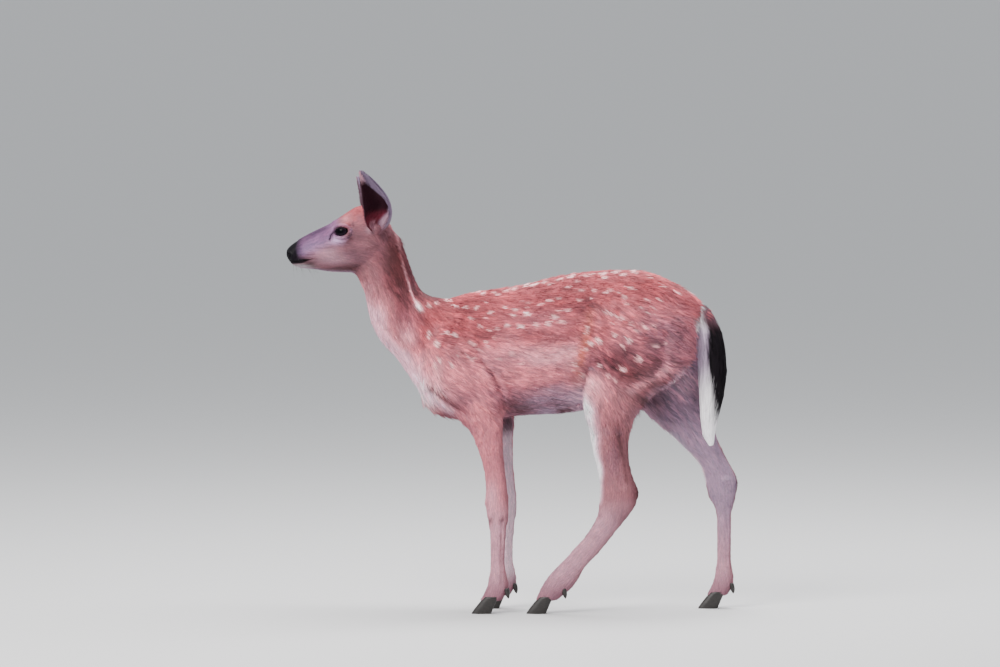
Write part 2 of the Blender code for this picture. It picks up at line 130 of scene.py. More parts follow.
def poled(rows, columns):
    """Triangles over a stack of rings and the two end points that are numbered after them."""
    quads = grid_faces(rows, columns)
    near, after = np.arange(columns), (np.arange(columns) + 1) % columns
    end, base = np.full(columns, rows * columns), (rows - 1) * columns
    fans = (np.stack([end, after, near], -1), np.stack([end + 1, base + near, base + after], -1))
    return np.vstack([quads[:, [0, 1, 2]], quads[:, [0, 2, 3]], *fans])


def baked(thing):
    """The object with its modifiers made into its mesh."""
    graph = bpy.context.evaluated_depsgraph_get()
    made = bpy.data.meshes.new_from_object(thing.evaluated_get(graph), depsgraph=graph)
    thing.modifiers.clear()
    spent, thing.data = thing.data, made
    bpy.data.meshes.remove(spent)
    return thing


def flesh_points(names, swell):
    """The nodes' points and triangles, each node grown along its normals to meet the next."""
    points, triangles, count = [], [], 0
    for name in names:
        bm = bmesh.new()
        bm.from_mesh(nodes[name].data)
        bmesh.ops.remove_doubles(bm, verts=bm.verts, dist=1e-5)
        mesh = bpy.data.meshes.new("merged")
        bm.to_mesh(mesh)
        bm.free()
        points.append(points_of(mesh) + swell * normals_of(mesh))
        triangles.append(triangles_of(mesh) + count)
        count += len(mesh.vertices)
        bpy.data.meshes.remove(mesh)
    return np.vstack(points), np.vstack(triangles)


def refined(thing, wanted):
    """Splits the edges whose two ends are both wanted, which makes the mesh there twice as fine."""
    bm = bmesh.new()
    bm.from_mesh(thing.data)
    bm.edges.ensure_lookup_table()
    ends = np.empty(len(thing.data.edges) * 2, np.int32)
    thing.data.edges.foreach_get("vertices", ends)
    picked = wanted(points_of(thing.data))[ends.reshape(-1, 2)].all(axis=1)
    edges = [bm.edges[i] for i in np.flatnonzero(picked)]
    bmesh.ops.subdivide_edges(bm, edges=edges, cuts=1, use_grid_fill=True)
    bmesh.ops.triangulate(bm, faces=bm.faces[:])
    bm.to_mesh(thing.data)
    bm.free()
    return thing


def is_head(p):
    """Ahead of the throat and above the breast."""
    return (p[:, 0] < -0.262) & (p[:, 2] > 0.665)


def is_face(p):
    """The muzzle, and all within 24 mm of each eye, seen from the side."""
    eye = np.linalg.norm((p - EYE * [1, 0, 1])[:, [0, 2]], axis=1) < 0.024
    return (is_head(p) & (p[:, 0] < -0.385)) | (eye & (np.abs(p[:, 1]) > 0.020))


def coat_depth(p):
    """How far the hair stands out: 4 mm, 5 on belly and rump, 2 on shanks and head, 1 at the nose."""
    depth = 0.0036 + 0.0016 * ease(-p[:, 2], -0.47, -0.42) * ease(p[:, 2], 0.36, 0.40)
    depth += 0.0016 * ease(p[:, 0], 0.20, 0.34) * ease(p[:, 2], 0.40, 0.46)
    shank = 1 - ease(p[:, 2], 0.22, 0.38)
    depth = depth * (1 - shank) + 0.0018 * shank
    face = ease(-p[:, 0], 0.25, 0.30) * ease(p[:, 2], 0.66, 0.68)
    muzzle = ease(-p[:, 0], 0.36, 0.43) * face
    return depth * (1 - face) + 0.0022 * face - 0.0013 * muzzle


# The tail's bones and flesh are a slim taper inside its long hair
DOCK = np.array([(0.350, 0.612, 0.018), (0.376, 0.592, 0.016), (0.393, 0.560, 0.013),
                 (0.399, 0.520, 0.011), (0.400, 0.480, 0.009), (0.398, 0.446, 0.006)])


def along(rows, steps):
    """The rows' columns read at even steps, on a smooth curve through them."""
    places = np.linspace(0, len(rows) - 1, steps)
    index = np.clip(places.astype(int), 0, len(rows) - 2)
    t = (places - index)[:, None]
    padded = np.vstack([2 * rows[0] - rows[1], rows, 2 * rows[-1] - rows[-2]])
    a, b, c, d = (padded[index + k] for k in range(4))
    squared = t**2 * (a - 2.5 * b + 2 * c - 0.5 * d)
    return b + 0.5 * t * (c - a) + squared + t**3 * (1.5 * (b - c) + 0.5 * (d - a))


def tube(rows, sides, steps):
    """Round rings along a path in the middle plane, given as x, z and radius, with closed ends."""
    path = along(rows, steps)
    lean = unit(np.gradient(path[:, :2], axis=0))
    turn = np.linspace(0, 2 * math.pi, sides, endpoint=False)
    out = path[:, 2, None] * np.cos(turn)
    x = path[:, 0, None] - lean[:, 1, None] * out
    z = path[:, 1, None] + lean[:, 0, None] * out
    y = path[:, 2, None] * np.sin(turn)
    tips = np.array([[path[0, 0], 0, path[0, 1]], [path[-1, 0], 0, path[-1, 1]]])
    return np.vstack([np.stack([x, y, z], -1).reshape(-1, 3), tips]), poled(steps, sides)


def from_path(p, path):
    """Each point's distance, seen from the side, from a broken line given as (x, z) corners."""
    path = np.array(path, float)
    found = np.full(len(p), 9.0)
    for start, end in zip(path, path[1:]):
        span = end - start
        t = np.clip((p[:, [0, 2]] - start) @ span / (span @ span), 0.0, 1.0)
        found = np.minimum(found, np.linalg.norm(p[:, [0, 2]] - start - t[:, None] * span, axis=1))
    return found


def blob(p, x, z, reach_x, reach_z, lean=0.0):
    """A soft oval seen from the side: e to the minus square of the distance over its reach."""
    c, s = math.cos(lean), math.sin(lean)
    dx, dz = p[:, 0] - x, p[:, 2] - z
    return np.exp(-(((c * dx + s * dz) / reach_x) ** 2) - ((c * dz - s * dx) / reach_z) ** 2)


flesh, flesh_triangles = flesh_points([*FLESH, "eye_left", "eye_right"], 0.0006)
dock, dock_triangles = tube(DOCK, 16, 24)
skin = piece("skin", np.vstack([flesh, dock]), np.vstack([flesh_triangles, dock_triangles + len(flesh)]))
one = skin.modifiers.new("one", "REMESH")
one.mode = "VOXEL"
one.voxel_size = SKIN_GRAIN
relax = skin.modifiers.new("relax", "SMOOTH")
relax.factor = 0.5
relax.iterations = 8
baked(skin)
refined(skin, is_head)
refined(skin, is_face)
relax = skin.modifiers.new("relax", "SMOOTH")
relax.factor = 0.5
relax.iterations = 3
baked(skin)

# The hide is set in by the coat's depth, but not on the dock, which is made bare
hide, out = points_of(skin.data), normals_of(skin.data)
on_dock = ease(hide[:, 0], 0.372, 0.384) * (1 - ease(np.abs(hide[:, 1]), 0.024, 0.030))
hide = hide - out * (coat_depth(hide) * (1 - on_dock) + 0.0006)[:, None]


def eye_frame(side):
    """The opening's middle, and the directions out of it, forward along it and up across it."""
    middle = EYE * [1, side, 1]
    axis = EYE_AXIS * [1, side, 1]
    forward = np.array([-1.0, 0.0, -0.16])
    forward = unit(forward - axis * (forward @ axis))
    up = np.cross(forward, axis) * (-side)
    up *= np.sign(up[2])
    return middle, axis, forward, up


# The lids: inside the opening the hide drops behind the ball. Round the opening it rests on it
for side in (LEFT, RIGHT):
    middle, axis, forward, up = eye_frame(side)
    arm = hide - middle
    reach = np.linalg.norm(arm, axis=1)
    ring = np.hypot(arm @ forward / EYE_LENGTH, arm @ up / EYE_HEIGHT)
    near = (arm @ axis > 0.0) & (reach < 0.030)
    lid = EYE_RADIUS + 0.0010
    share = 1 - ease(ring, 1.25, 2.1)
    wanted = reach * (1 - share) + lid * share
    wanted -= (1 - ease(ring, 0.98, 1.14)) * 0.0050
    moved = middle + arm / np.maximum(reach, 1e-6)[:, None] * wanted[:, None]
    hide = np.where(near[:, None], moved, hide)

# The forms that the hide shows: each is a line seen from the side, how wide it is and how
# far it stands out (or in), on both sides of the animal or on one
FORMS = [
    ([(-0.356, 0.776), (-0.342, 0.781), (-0.326, 0.778)], 0.0050, 0.0016, 0),  # brow
    ([(-0.353, 0.7700), (-0.342, 0.7745), (-0.329, 0.7700)], 0.0012, -0.0015, 0),  # over the lid
    ([(-0.350, 0.7520), (-0.338, 0.7500), (-0.328, 0.7540)], 0.0012, -0.0010, 0),  # under the lid
    ([(-0.326, 0.757), (-0.304, 0.757), (-0.286, 0.762)], 0.0060, 0.0012, 0),  # cheek bone
    ([(-0.358, 0.763), (-0.363, 0.754), (-0.364, 0.747)], 0.0014, -0.0026, 0),  # gland before the eye
    ([(-0.385, 0.744), (-0.366, 0.738), (-0.345, 0.734)], 0.0080, -0.0014, 0),  # hollow of the face
    ([(-0.318, 0.722), (-0.296, 0.716)], 0.0200, 0.0018, 0),  # cheek muscle
    ([(-0.324, 0.690), (-0.300, 0.698), (-0.285, 0.712)], 0.0040, -0.0010, 0),  # behind the jaw
    ([(-0.420, 0.712), (-0.404, 0.713)], 0.0060, 0.0008, 0),  # upper lip
    ([(-0.427, 0.697), (-0.408, 0.699)], 0.0050, 0.0008, 0),  # lower lip
    (MOUTH, 0.0013, -0.0024, 0),
    ([(-0.167, 0.453), (-0.130, 0.425), (-0.086, 0.402)], 0.0070, -0.0034, 0),  # breast and upper arm
    ([(-0.069, 0.508), (-0.045, 0.488), (-0.029, 0.458), (-0.022, 0.420)], 0.0060, -0.0034, 0),  # elbow
    ([(-0.100, 0.530), (-0.070, 0.480)], 0.0260, 0.0030, 0),  # triceps
    ([(-0.140, 0.486), (-0.112, 0.440)], 0.0180, 0.0026, 0),  # point of the shoulder
    ([(-0.132, 0.600), (-0.128, 0.530)], 0.0080, 0.0014, 0),  # ridge of the shoulder blade
    ([(-0.098, 0.590), (-0.100, 0.540)], 0.0120, -0.0016, 0),  # hollow behind that ridge
    ([(0.300, 0.560), (0.290, 0.500), (0.262, 0.440)], 0.0120, -0.0022, 0),  # between the thigh's muscles
    ([(0.190, 0.520), (0.215, 0.450)], 0.0300, 0.0026, 0),  # thigh
    ([(0.200, 0.610), (0.225, 0.600)], 0.0140, 0.0018, 0),  # point of the hip
    ([(-0.165, 0.560), (-0.150, 0.500), (-0.165, 0.450)], 0.0100, -0.0014, 0),  # before the shoulder
    ([(0.135, 0.412), (0.138, 0.450), (0.146, 0.490)], 0.0080, -0.0034, 0),  # fold of the flank
    ([(0.150, 0.640), (0.158, 0.600), (0.155, 0.560)], 0.0120, -0.0016, 0),  # hollow of the loin
    ([(0.220, 0.262), (0.217, 0.285), (0.214, 0.315)], 0.0085, -0.0024, LEFT),  # before the hock's cord
    ([(0.424, 0.272), (0.412, 0.290), (0.396, 0.312)], 0.0085, -0.0024, RIGHT),
    ([(0.176, 0.196), (0.150, 0.150), (0.122, 0.105)], 0.0036, -0.0016, LEFT),  # beside the sinews
    ([(0.430, 0.205), (0.431, 0.150), (0.431, 0.095)], 0.0036, -0.0016, RIGHT),
    ([(-0.020, 0.190), (-0.023, 0.140), (-0.024, 0.095)], 0.0036, -0.0016, LEFT),
    ([(-0.003, 0.190), (-0.006, 0.140), (-0.007, 0.095)], 0.0036, -0.0016, RIGHT),
]
for path, width, height, side in FORMS:
    shape = np.exp(-((from_path(hide, path) / width) ** 2)) * ease(np.abs(hide[:, 1]), 0.002, 0.008)
    if side:
        shape *= hide[:, 1] * side > 0
    hide = hide + out * (shape * height)[:, None]

# Nostrils: a comma on each side of the pad, open forwards, with the wing standing out behind it
NOSTRIL = [(-0.4535, 0.7210), (-0.4490, 0.7190), (-0.4450, 0.7150), (-0.4455, 0.7105)]
nostril = from_path(hide, NOSTRIL)
sideways = ease(np.abs(hide[:, 1]), 0.0035, 0.0065)
hide = hide - out * (np.exp(-((nostril / 0.0018) ** 2)) * 0.0042 * sideways)[:, None]
hide = hide + out * (np.exp(-(((nostril - 0.0042) / 0.0020) ** 2)) * 0.0009 * sideways)[:, None]
philtrum = np.exp(-((hide[:, 1] / 0.0011) ** 2)) * ease(-hide[:, 0], 0.446, 0.450)
hide = hide - out * (philtrum * 0.0012)[:, None]

skin.data.vertices.foreach_set("co", hide.astype(np.float32).ravel())
skin.data.update()
skin.data.shade_smooth()
out = normals_of(skin.data)

# ---------------------------------------------------------------------------------------
# Markings. One rule paints both the hide and the coat: a rufous back and neck, paler flanks
# and legs, a white underside, a grey face, a black nose, and rows of white spots.
# ---------------------------------------------------------------------------------------
RUFOUS = (0.35, 0.073, 0.085)  # the back
FLANK = (0.50, 0.160, 0.200)
GLOW = (0.52, 0.128, 0.104)  # rusty brown in the flank fold
DEEP = (0.070, 0.021, 0.028)  # red-brown shade
DUSK = (0.24, 0.105, 0.140)  # grey-brown: painted shade on belly, neck, rear haunch and hock; the grey of upper rump, shins and feet
TAN = (0.30, 0.125, 0.145)  # the thighs and the rear of the legs
PINK = (0.62, 0.190, 0.225)  # the shoulder, the forelegs and the lit haunch
BLOOM = (0.92, 0.400, 0.460)  # the light band of the flank and the line by the crest
PALE = (0.80, 0.440, 0.540)  # the front of neck and shanks, and round the eye
WHITE = (0.95, 0.900, 0.940)
SPOT = (1.00, 0.500, 0.515)
SHADE_WHITE = (0.33, 0.230, 0.325)  # white hair of the underside and the inner legs
SHIN_WHITE = (0.72, 0.520, 0.600)  # the pale inner side of the forelegs
FACE = (0.190, 0.082, 0.105)
MAUVE = (0.230, 0.120, 0.240)  # the bridge of the nose
LILAC = (0.78, 0.480, 0.780)  # the light patch under the eye
BLUISH = (0.40, 0.240, 0.430)
SLATE = (0.034, 0.022, 0.040)  # the dark line on top of the muzzle
BLACK = (0.003, 0.002, 0.004)
NECK_SHADE = (0.100, 0.018, 0.020)  # painted shade on the side of the neck that is turned from the light
UMBER = (0.060, 0.020, 0.023)  # dark brown: painted shade in creases, hollows and wrinkles, and the ear's dark edge

BACK_LINE = np.array([(-0.165, 0.629), (-0.065, 0.643), (0.015, 0.655), (0.085, 0.672), (0.145, 0.681),
                      (0.205, 0.685), (0.265, 0.682), (0.320, 0.661), (0.361, 0.636), (0.377, 0.620)])
NECK_FRONT = [(-0.300, 0.672), (-0.292, 0.640), (-0.285, 0.607), (-0.275, 0.573), (-0.256, 0.540),
              (-0.226, 0.506), (-0.199, 0.470)]
CREST_LINE = [(-0.243, 0.790), (-0.231, 0.744), (-0.221, 0.700), (-0.211, 0.664), (-0.201, 0.634),
              (-0.191, 0.614)]
FLANK_FOLD = [(0.159, 0.612), (0.152, 0.574), (0.144, 0.534), (0.131, 0.500), (0.128, 0.465)]
SHANK_FRONT = {
    LEFT: [(0.133, 0.470), (0.145, 0.404), (0.158, 0.344), (0.170, 0.284), (0.168, 0.224)],
    RIGHT: [(0.225, 0.430), (0.275, 0.384), (0.319, 0.344), (0.351, 0.314), (0.375, 0.286),
            (0.385, 0.256)],
}
HOCK = {LEFT: (0.250, 0.236), RIGHT: (0.450, 0.252)}
KNEE = {LEFT: (-0.038, 0.224), RIGHT: (-0.020, 0.224)}
BREAST_CREASE = [(-0.164, 0.452), (-0.145, 0.437), (-0.121, 0.423), (-0.096, 0.408)]
ELBOW_CREASE = [(-0.060, 0.504), (-0.046, 0.488), (-0.035, 0.468), (-0.029, 0.448)]
BROW = [(-0.366, 0.772), (-0.340, 0.790), (-0.305, 0.812), (-0.270, 0.812), (-0.240, 0.790)]

# Spots: rows of dashes along the back and rounder ones on the shoulder and haunch
SPOTS = [  # x, z, half length, half width, tilt in degrees, whiteness
    (-0.167, 0.612, 0.0020, 0.0038, 0, 0.50), (-0.165, 0.554, 0.0040, 0.0087, 0, 1.00),
    (-0.154, 0.496, 0.0028, 0.0047, 0, 0.60), (-0.150, 0.616, 0.0037, 0.0023, 40, 0.70),
    (-0.148, 0.538, 0.0028, 0.0061, 0, 0.90), (-0.144, 0.507, 0.0026, 0.0049, 0, 0.90),
    (-0.129, 0.623, 0.0046, 0.0023, 40, 0.90), (-0.129, 0.561, 0.0033, 0.0030, 0, 0.85),
    (-0.120, 0.497, 0.0039, 0.0047, 0, 0.95), (-0.119, 0.622, 0.0037, 0.0017, 35, 0.60),
    (-0.115, 0.557, 0.0048, 0.0042, 0, 0.85), (-0.110, 0.611, 0.0026, 0.0027, 0, 0.80),
    (-0.108, 0.516, 0.0037, 0.0019, 40, 0.50), (-0.093, 0.611, 0.0033, 0.0042, 0, 0.80),
    (-0.081, 0.638, 0.0028, 0.0011, 20, 0.50), (-0.081, 0.589, 0.0035, 0.0029, -20, 0.60),
    (-0.081, 0.511, 0.0059, 0.0053, -15, 0.50), (-0.079, 0.540, 0.0046, 0.0047, -20, 0.55),
    (-0.071, 0.609, 0.0039, 0.0030, 40, 0.80), (-0.067, 0.639, 0.0044, 0.0013, 20, 0.50),
    (-0.065, 0.527, 0.0074, 0.0023, -20, 0.35), (-0.063, 0.574, 0.0024, 0.0038, 0, 0.55),
    (-0.058, 0.635, 0.0031, 0.0017, 20, 0.70), (-0.053, 0.621, 0.0033, 0.0017, -15, 0.50),
    (-0.053, 0.590, 0.0028, 0.0019, 0, 0.35), (-0.051, 0.543, 0.0028, 0.0029, 0, 0.55),
    (-0.047, 0.534, 0.0024, 0.0029, -30, 0.50), (-0.045, 0.566, 0.0037, 0.0023, 10, 0.60),
    (-0.042, 0.601, 0.0033, 0.0038, 0, 0.85), (-0.036, 0.637, 0.0037, 0.0019, 0, 0.60),
    (-0.033, 0.552, 0.0037, 0.0034, 0, 0.55), (-0.030, 0.570, 0.0037, 0.0038, 0, 0.45),
    (-0.026, 0.635, 0.0037, 0.0015, 25, 0.80), (-0.025, 0.511, 0.0074, 0.0023, 0, 0.40),
    (-0.015, 0.611, 0.0037, 0.0025, 20, 0.85), (-0.012, 0.641, 0.0029, 0.0015, 15, 0.60),
    (-0.009, 0.577, 0.0042, 0.0038, 15, 0.95), (-0.001, 0.521, 0.0055, 0.0047, 0, 0.35),
    (0.003, 0.596, 0.0033, 0.0034, 0, 0.85), (0.004, 0.645, 0.0055, 0.0015, 20, 0.85),
    (0.007, 0.607, 0.0055, 0.0017, 15, 0.80), (0.017, 0.502, 0.0055, 0.0038, 0, 0.35),
    (0.018, 0.623, 0.0031, 0.0017, 20, 0.80), (0.018, 0.575, 0.0052, 0.0038, -15, 0.95),
    (0.029, 0.651, 0.0046, 0.0019, 20, 0.90), (0.030, 0.611, 0.0024, 0.0017, 0, 0.50),
    (0.030, 0.598, 0.0055, 0.0042, 10, 0.85), (0.033, 0.620, 0.0029, 0.0017, 20, 0.50),
    (0.045, 0.653, 0.0055, 0.0019, 25, 0.90), (0.049, 0.578, 0.0044, 0.0061, 45, 0.50),
    (0.058, 0.618, 0.0046, 0.0023, 10, 0.60), (0.066, 0.659, 0.0039, 0.0019, 20, 0.85),
    (0.072, 0.581, 0.0055, 0.0038, 0, 0.75), (0.074, 0.625, 0.0046, 0.0025, 0, 0.85),
    (0.077, 0.655, 0.0037, 0.0019, 15, 0.80), (0.084, 0.595, 0.0057, 0.0046, 0, 0.90),
    (0.091, 0.630, 0.0055, 0.0019, 20, 0.70), (0.095, 0.605, 0.0037, 0.0019, 0, 0.40),
    (0.096, 0.664, 0.0048, 0.0019, 20, 0.85), (0.099, 0.584, 0.0063, 0.0038, 0, 0.60),
    (0.111, 0.607, 0.0052, 0.0029, -10, 0.70), (0.113, 0.651, 0.0039, 0.0023, 20, 0.85),
    (0.119, 0.670, 0.0052, 0.0019, 20, 0.95), (0.130, 0.662, 0.0033, 0.0025, 0, 0.60),
    (0.134, 0.626, 0.0037, 0.0029, 0, 0.50), (0.138, 0.645, 0.0037, 0.0025, 0, 0.65),
    (0.146, 0.532, 0.0024, 0.0034, -10, 0.80), (0.147, 0.672, 0.0046, 0.0021, 10, 0.85),
    (0.156, 0.541, 0.0048, 0.0042, 0, 1.00), (0.157, 0.630, 0.0052, 0.0029, 20, 0.70),
    (0.161, 0.673, 0.0029, 0.0017, 10, 0.70), (0.165, 0.644, 0.0037, 0.0023, 20, 0.50),
    (0.172, 0.546, 0.0050, 0.0057, 10, 1.00), (0.176, 0.497, 0.0040, 0.0042, -30, 0.75),
    (0.182, 0.675, 0.0055, 0.0019, 20, 0.95), (0.186, 0.668, 0.0055, 0.0019, 25, 0.85),
    (0.187, 0.641, 0.0039, 0.0030, 20, 0.70), (0.187, 0.603, 0.0040, 0.0034, 20, 0.90),
    (0.191, 0.478, 0.0040, 0.0038, 0, 0.60), (0.195, 0.646, 0.0033, 0.0029, 0, 0.65),
    (0.197, 0.599, 0.0024, 0.0021, 0, 0.80), (0.200, 0.579, 0.0040, 0.0023, 0, 0.60),
    (0.205, 0.557, 0.0053, 0.0042, -10, 0.95), (0.207, 0.596, 0.0033, 0.0025, 0, 0.80),
    (0.208, 0.678, 0.0048, 0.0017, 10, 0.95), (0.211, 0.641, 0.0037, 0.0023, 0, 0.55),
    (0.218, 0.591, 0.0037, 0.0029, 0, 0.75), (0.220, 0.535, 0.0026, 0.0042, 10, 0.60),
    (0.220, 0.491, 0.0061, 0.0053, 0, 0.70), (0.222, 0.674, 0.0055, 0.0019, 0, 0.90),
    (0.223, 0.632, 0.0024, 0.0044, 15, 0.60), (0.227, 0.619, 0.0037, 0.0023, 0, 0.70),
    (0.234, 0.546, 0.0046, 0.0053, -10, 0.75), (0.237, 0.649, 0.0066, 0.0023, -15, 0.70),
    (0.239, 0.580, 0.0055, 0.0025, -45, 0.70), (0.245, 0.678, 0.0055, 0.0015, -10, 0.80),
    (0.253, 0.510, 0.0057, 0.0053, -25, 0.80), (0.257, 0.612, 0.0055, 0.0021, -30, 0.70),
    (0.266, 0.572, 0.0055, 0.0038, -30, 0.60), (0.269, 0.602, 0.0055, 0.0019, -25, 0.60),
    (0.274, 0.669, 0.0037, 0.0017, -25, 0.60), (0.285, 0.598, 0.0037, 0.0019, -20, 0.50),
    (0.291, 0.627, 0.0040, 0.0029, 0, 0.70), (0.303, 0.651, 0.0040, 0.0019, -25, 0.85),
    (0.330, 0.637, 0.0044, 0.0025, -20, 0.80), (0.357, 0.637, 0.0033, 0.0019, -30, 0.70),
    (0.268, 0.627, 0.0040, 0.0022, -20, 0.60), (0.280, 0.611, 0.0045, 0.0022, -25, 0.55),
    (0.282, 0.574, 0.0044, 0.0030, -20, 0.50), (0.285, 0.538, 0.0060, 0.0040, -20, 0.45),
    (0.308, 0.541, 0.0050, 0.0036, 0, 0.35), (0.125, 0.499, 0.0030, 0.0050, 0, 0.60),
    (0.120, 0.489, 0.0028, 0.0036, 0, 0.50), (0.148, 0.566, 0.0024, 0.0075, 0, 0.60),
    (0.205, 0.469, 0.0050, 0.0034, -30, 0.50), (0.248, 0.566, 0.0046, 0.0030, -20, 0.45),
    (0.140, 0.480, 0.0030, 0.0044, 0, 0.50),
]
LEAST_SPOT = (0.0036, 0.0022)  # no spot is drawn shorter or narrower than this, half sizes

# Painted shade in the folds and hollows of the belly, groin, haunch, withers and neck
CREASE_SHADOWS = [  # x, z, reach along and up, lean, how dark
    (0.018, 0.410, 0.040, 0.013, 0.0, 0.60), (0.007, 0.424, 0.024, 0.010, 0.0, 0.40),
    (0.108, 0.408, 0.018, 0.016, 0.0, 0.60), (0.098, 0.408, 0.018, 0.014, 0.0, 0.50),
    (0.295, 0.440, 0.022, 0.020, 0.5, 0.62), (0.327, 0.462, 0.018, 0.015, 0.5, 0.50),
    (0.263, 0.420, 0.020, 0.018, 0.5, 0.45), (0.231, 0.484, 0.024, 0.011, 0.4, 0.55),
    (0.279, 0.506, 0.026, 0.014, 0.4, 0.50), (-0.121, 0.384, 0.010, 0.010, 0.0, 0.50),
    (-0.166, 0.632, 0.026, 0.010, 0.0, 0.55), (-0.186, 0.645, 0.014, 0.010, 0.0, 0.40),
    (-0.217, 0.674, 0.010, 0.022, 0.2, 0.35), (-0.237, 0.714, 0.022, 0.026, 0.2, 0.42),
    (-0.277, 0.734, 0.012, 0.016, 0.0, 0.30), (-0.057, 0.646, 0.032, 0.007, 0.0, 0.30),
]

# Painted shade in fine creases round the eye, by the corner of the mouth and along the cheek
WRINKLES = [  # line, width, how dark
    ([(-0.353, 0.7700), (-0.342, 0.7745), (-0.329, 0.7700)], 0.0018, 0.75),
    ([(-0.352, 0.7505), (-0.341, 0.7470), (-0.329, 0.7515)], 0.0010, 0.40),
    ([(-0.350, 0.7420), (-0.341, 0.7405), (-0.331, 0.7425)], 0.0011, 0.40),
    ([(-0.326, 0.7580), (-0.323, 0.7500), (-0.329, 0.7430)], 0.0030, 0.45),
    ([(-0.410, 0.7165), (-0.394, 0.7172)], 0.0009, 0.55),
    ([(-0.408, 0.7205), (-0.394, 0.7195)], 0.0009, 0.50),
    ([(-0.404, 0.7245), (-0.395, 0.7218)], 0.0009, 0.40),
    ([(-0.392, 0.7300), (-0.376, 0.7290), (-0.358, 0.7330)], 0.0022, 0.28),
]


def mixed(colours, pigment, share):
    """The colours brought nearer to the pigment by a share from 0 to 1."""
    return colours + (np.array(pigment) - colours) * np.clip(share, 0.0, 1.0)[:, None]


def mottle(p, wavelength, seed):
    """Soft cloudiness of about unit size: a sum of waves of fixed random directions and lengths."""
    rng = np.random.default_rng(seed)
    total = np.zeros(len(p))
    for _ in range(14):
        way = rng.normal(size=3)
        way *= 2 * math.pi / (wavelength * rng.uniform(0.6, 1.8) * np.linalg.norm(way))
        total += np.cos(p @ way + rng.uniform(0, 2 * math.pi))
    return np.clip(total / math.sqrt(7.0), -2.2, 2.2)


def streaks(p, way, wavelength, reach, seed):
    """Lines of about unit size that run with the hair: waves smoothed along it, left sharp across it."""
    rng = np.random.default_rng(seed)
    total, power = np.zeros(len(p)), np.full(len(p), 1e-3)
    for _ in range(44):
        wave = rng.normal(size=3)
        wave *= 2 * math.pi / (wavelength * rng.uniform(0.7, 1.7) * np.linalg.norm(wave))
        keep = np.sinc((way @ wave) * reach / math.pi)
        total += keep * np.cos(p @ wave + rng.uniform(0, 2 * math.pi))
        power += keep**2 / 2
    return np.clip(total / np.sqrt(power), -2.5, 2.5)


def below_spine(p):
    """How far round the barrel a point lies from the line of the back."""
    drop = np.interp(p[:, 0], BACK_LINE[:, 0], BACK_LINE[:, 1]) - p[:, 2]
    return np.hypot(np.abs(p[:, 1]) * 0.6, np.maximum(drop, 0.0))


def spot_share(p):
    """How white each point is with spots. The right side's are the left's, each a little moved."""
    rng = np.random.default_rng(31)
    share = np.zeros(len(p))
    ragged = 1 + 0.16 * mottle(p, 0.006, 32)
    for side, shift in ((LEFT, 0.0), (RIGHT, 0.0035)):
        on_side = (p[:, 1] * side > 0) & (p[:, 2] > 0.40)
        q, rag = p[on_side], ragged[on_side]
        most = np.zeros(len(q))
        for x, z, reach, half, tilt, white in SPOTS:
            dx = q[:, 0] - x - shift * rng.normal()
            dz = q[:, 2] - z - 0.6 * shift * rng.normal()
            near = np.abs(dx) + np.abs(dz) < 0.018
            reach, half = max(reach, LEAST_SPOT[0]), max(half, LEAST_SPOT[1])
            cos, sin = math.cos(math.radians(tilt)), math.sin(math.radians(tilt))
            with_it = (dx[near] * cos + dz[near] * sin) / reach
            over_it = (dz[near] * cos - dx[near] * sin) / half
            ring = np.hypot(with_it, over_it) * rag[near]
            most[near] = np.maximum(most[near], white * (1 - ease(ring, 0.70, 1.34)))
        share[on_side] = most
    return share


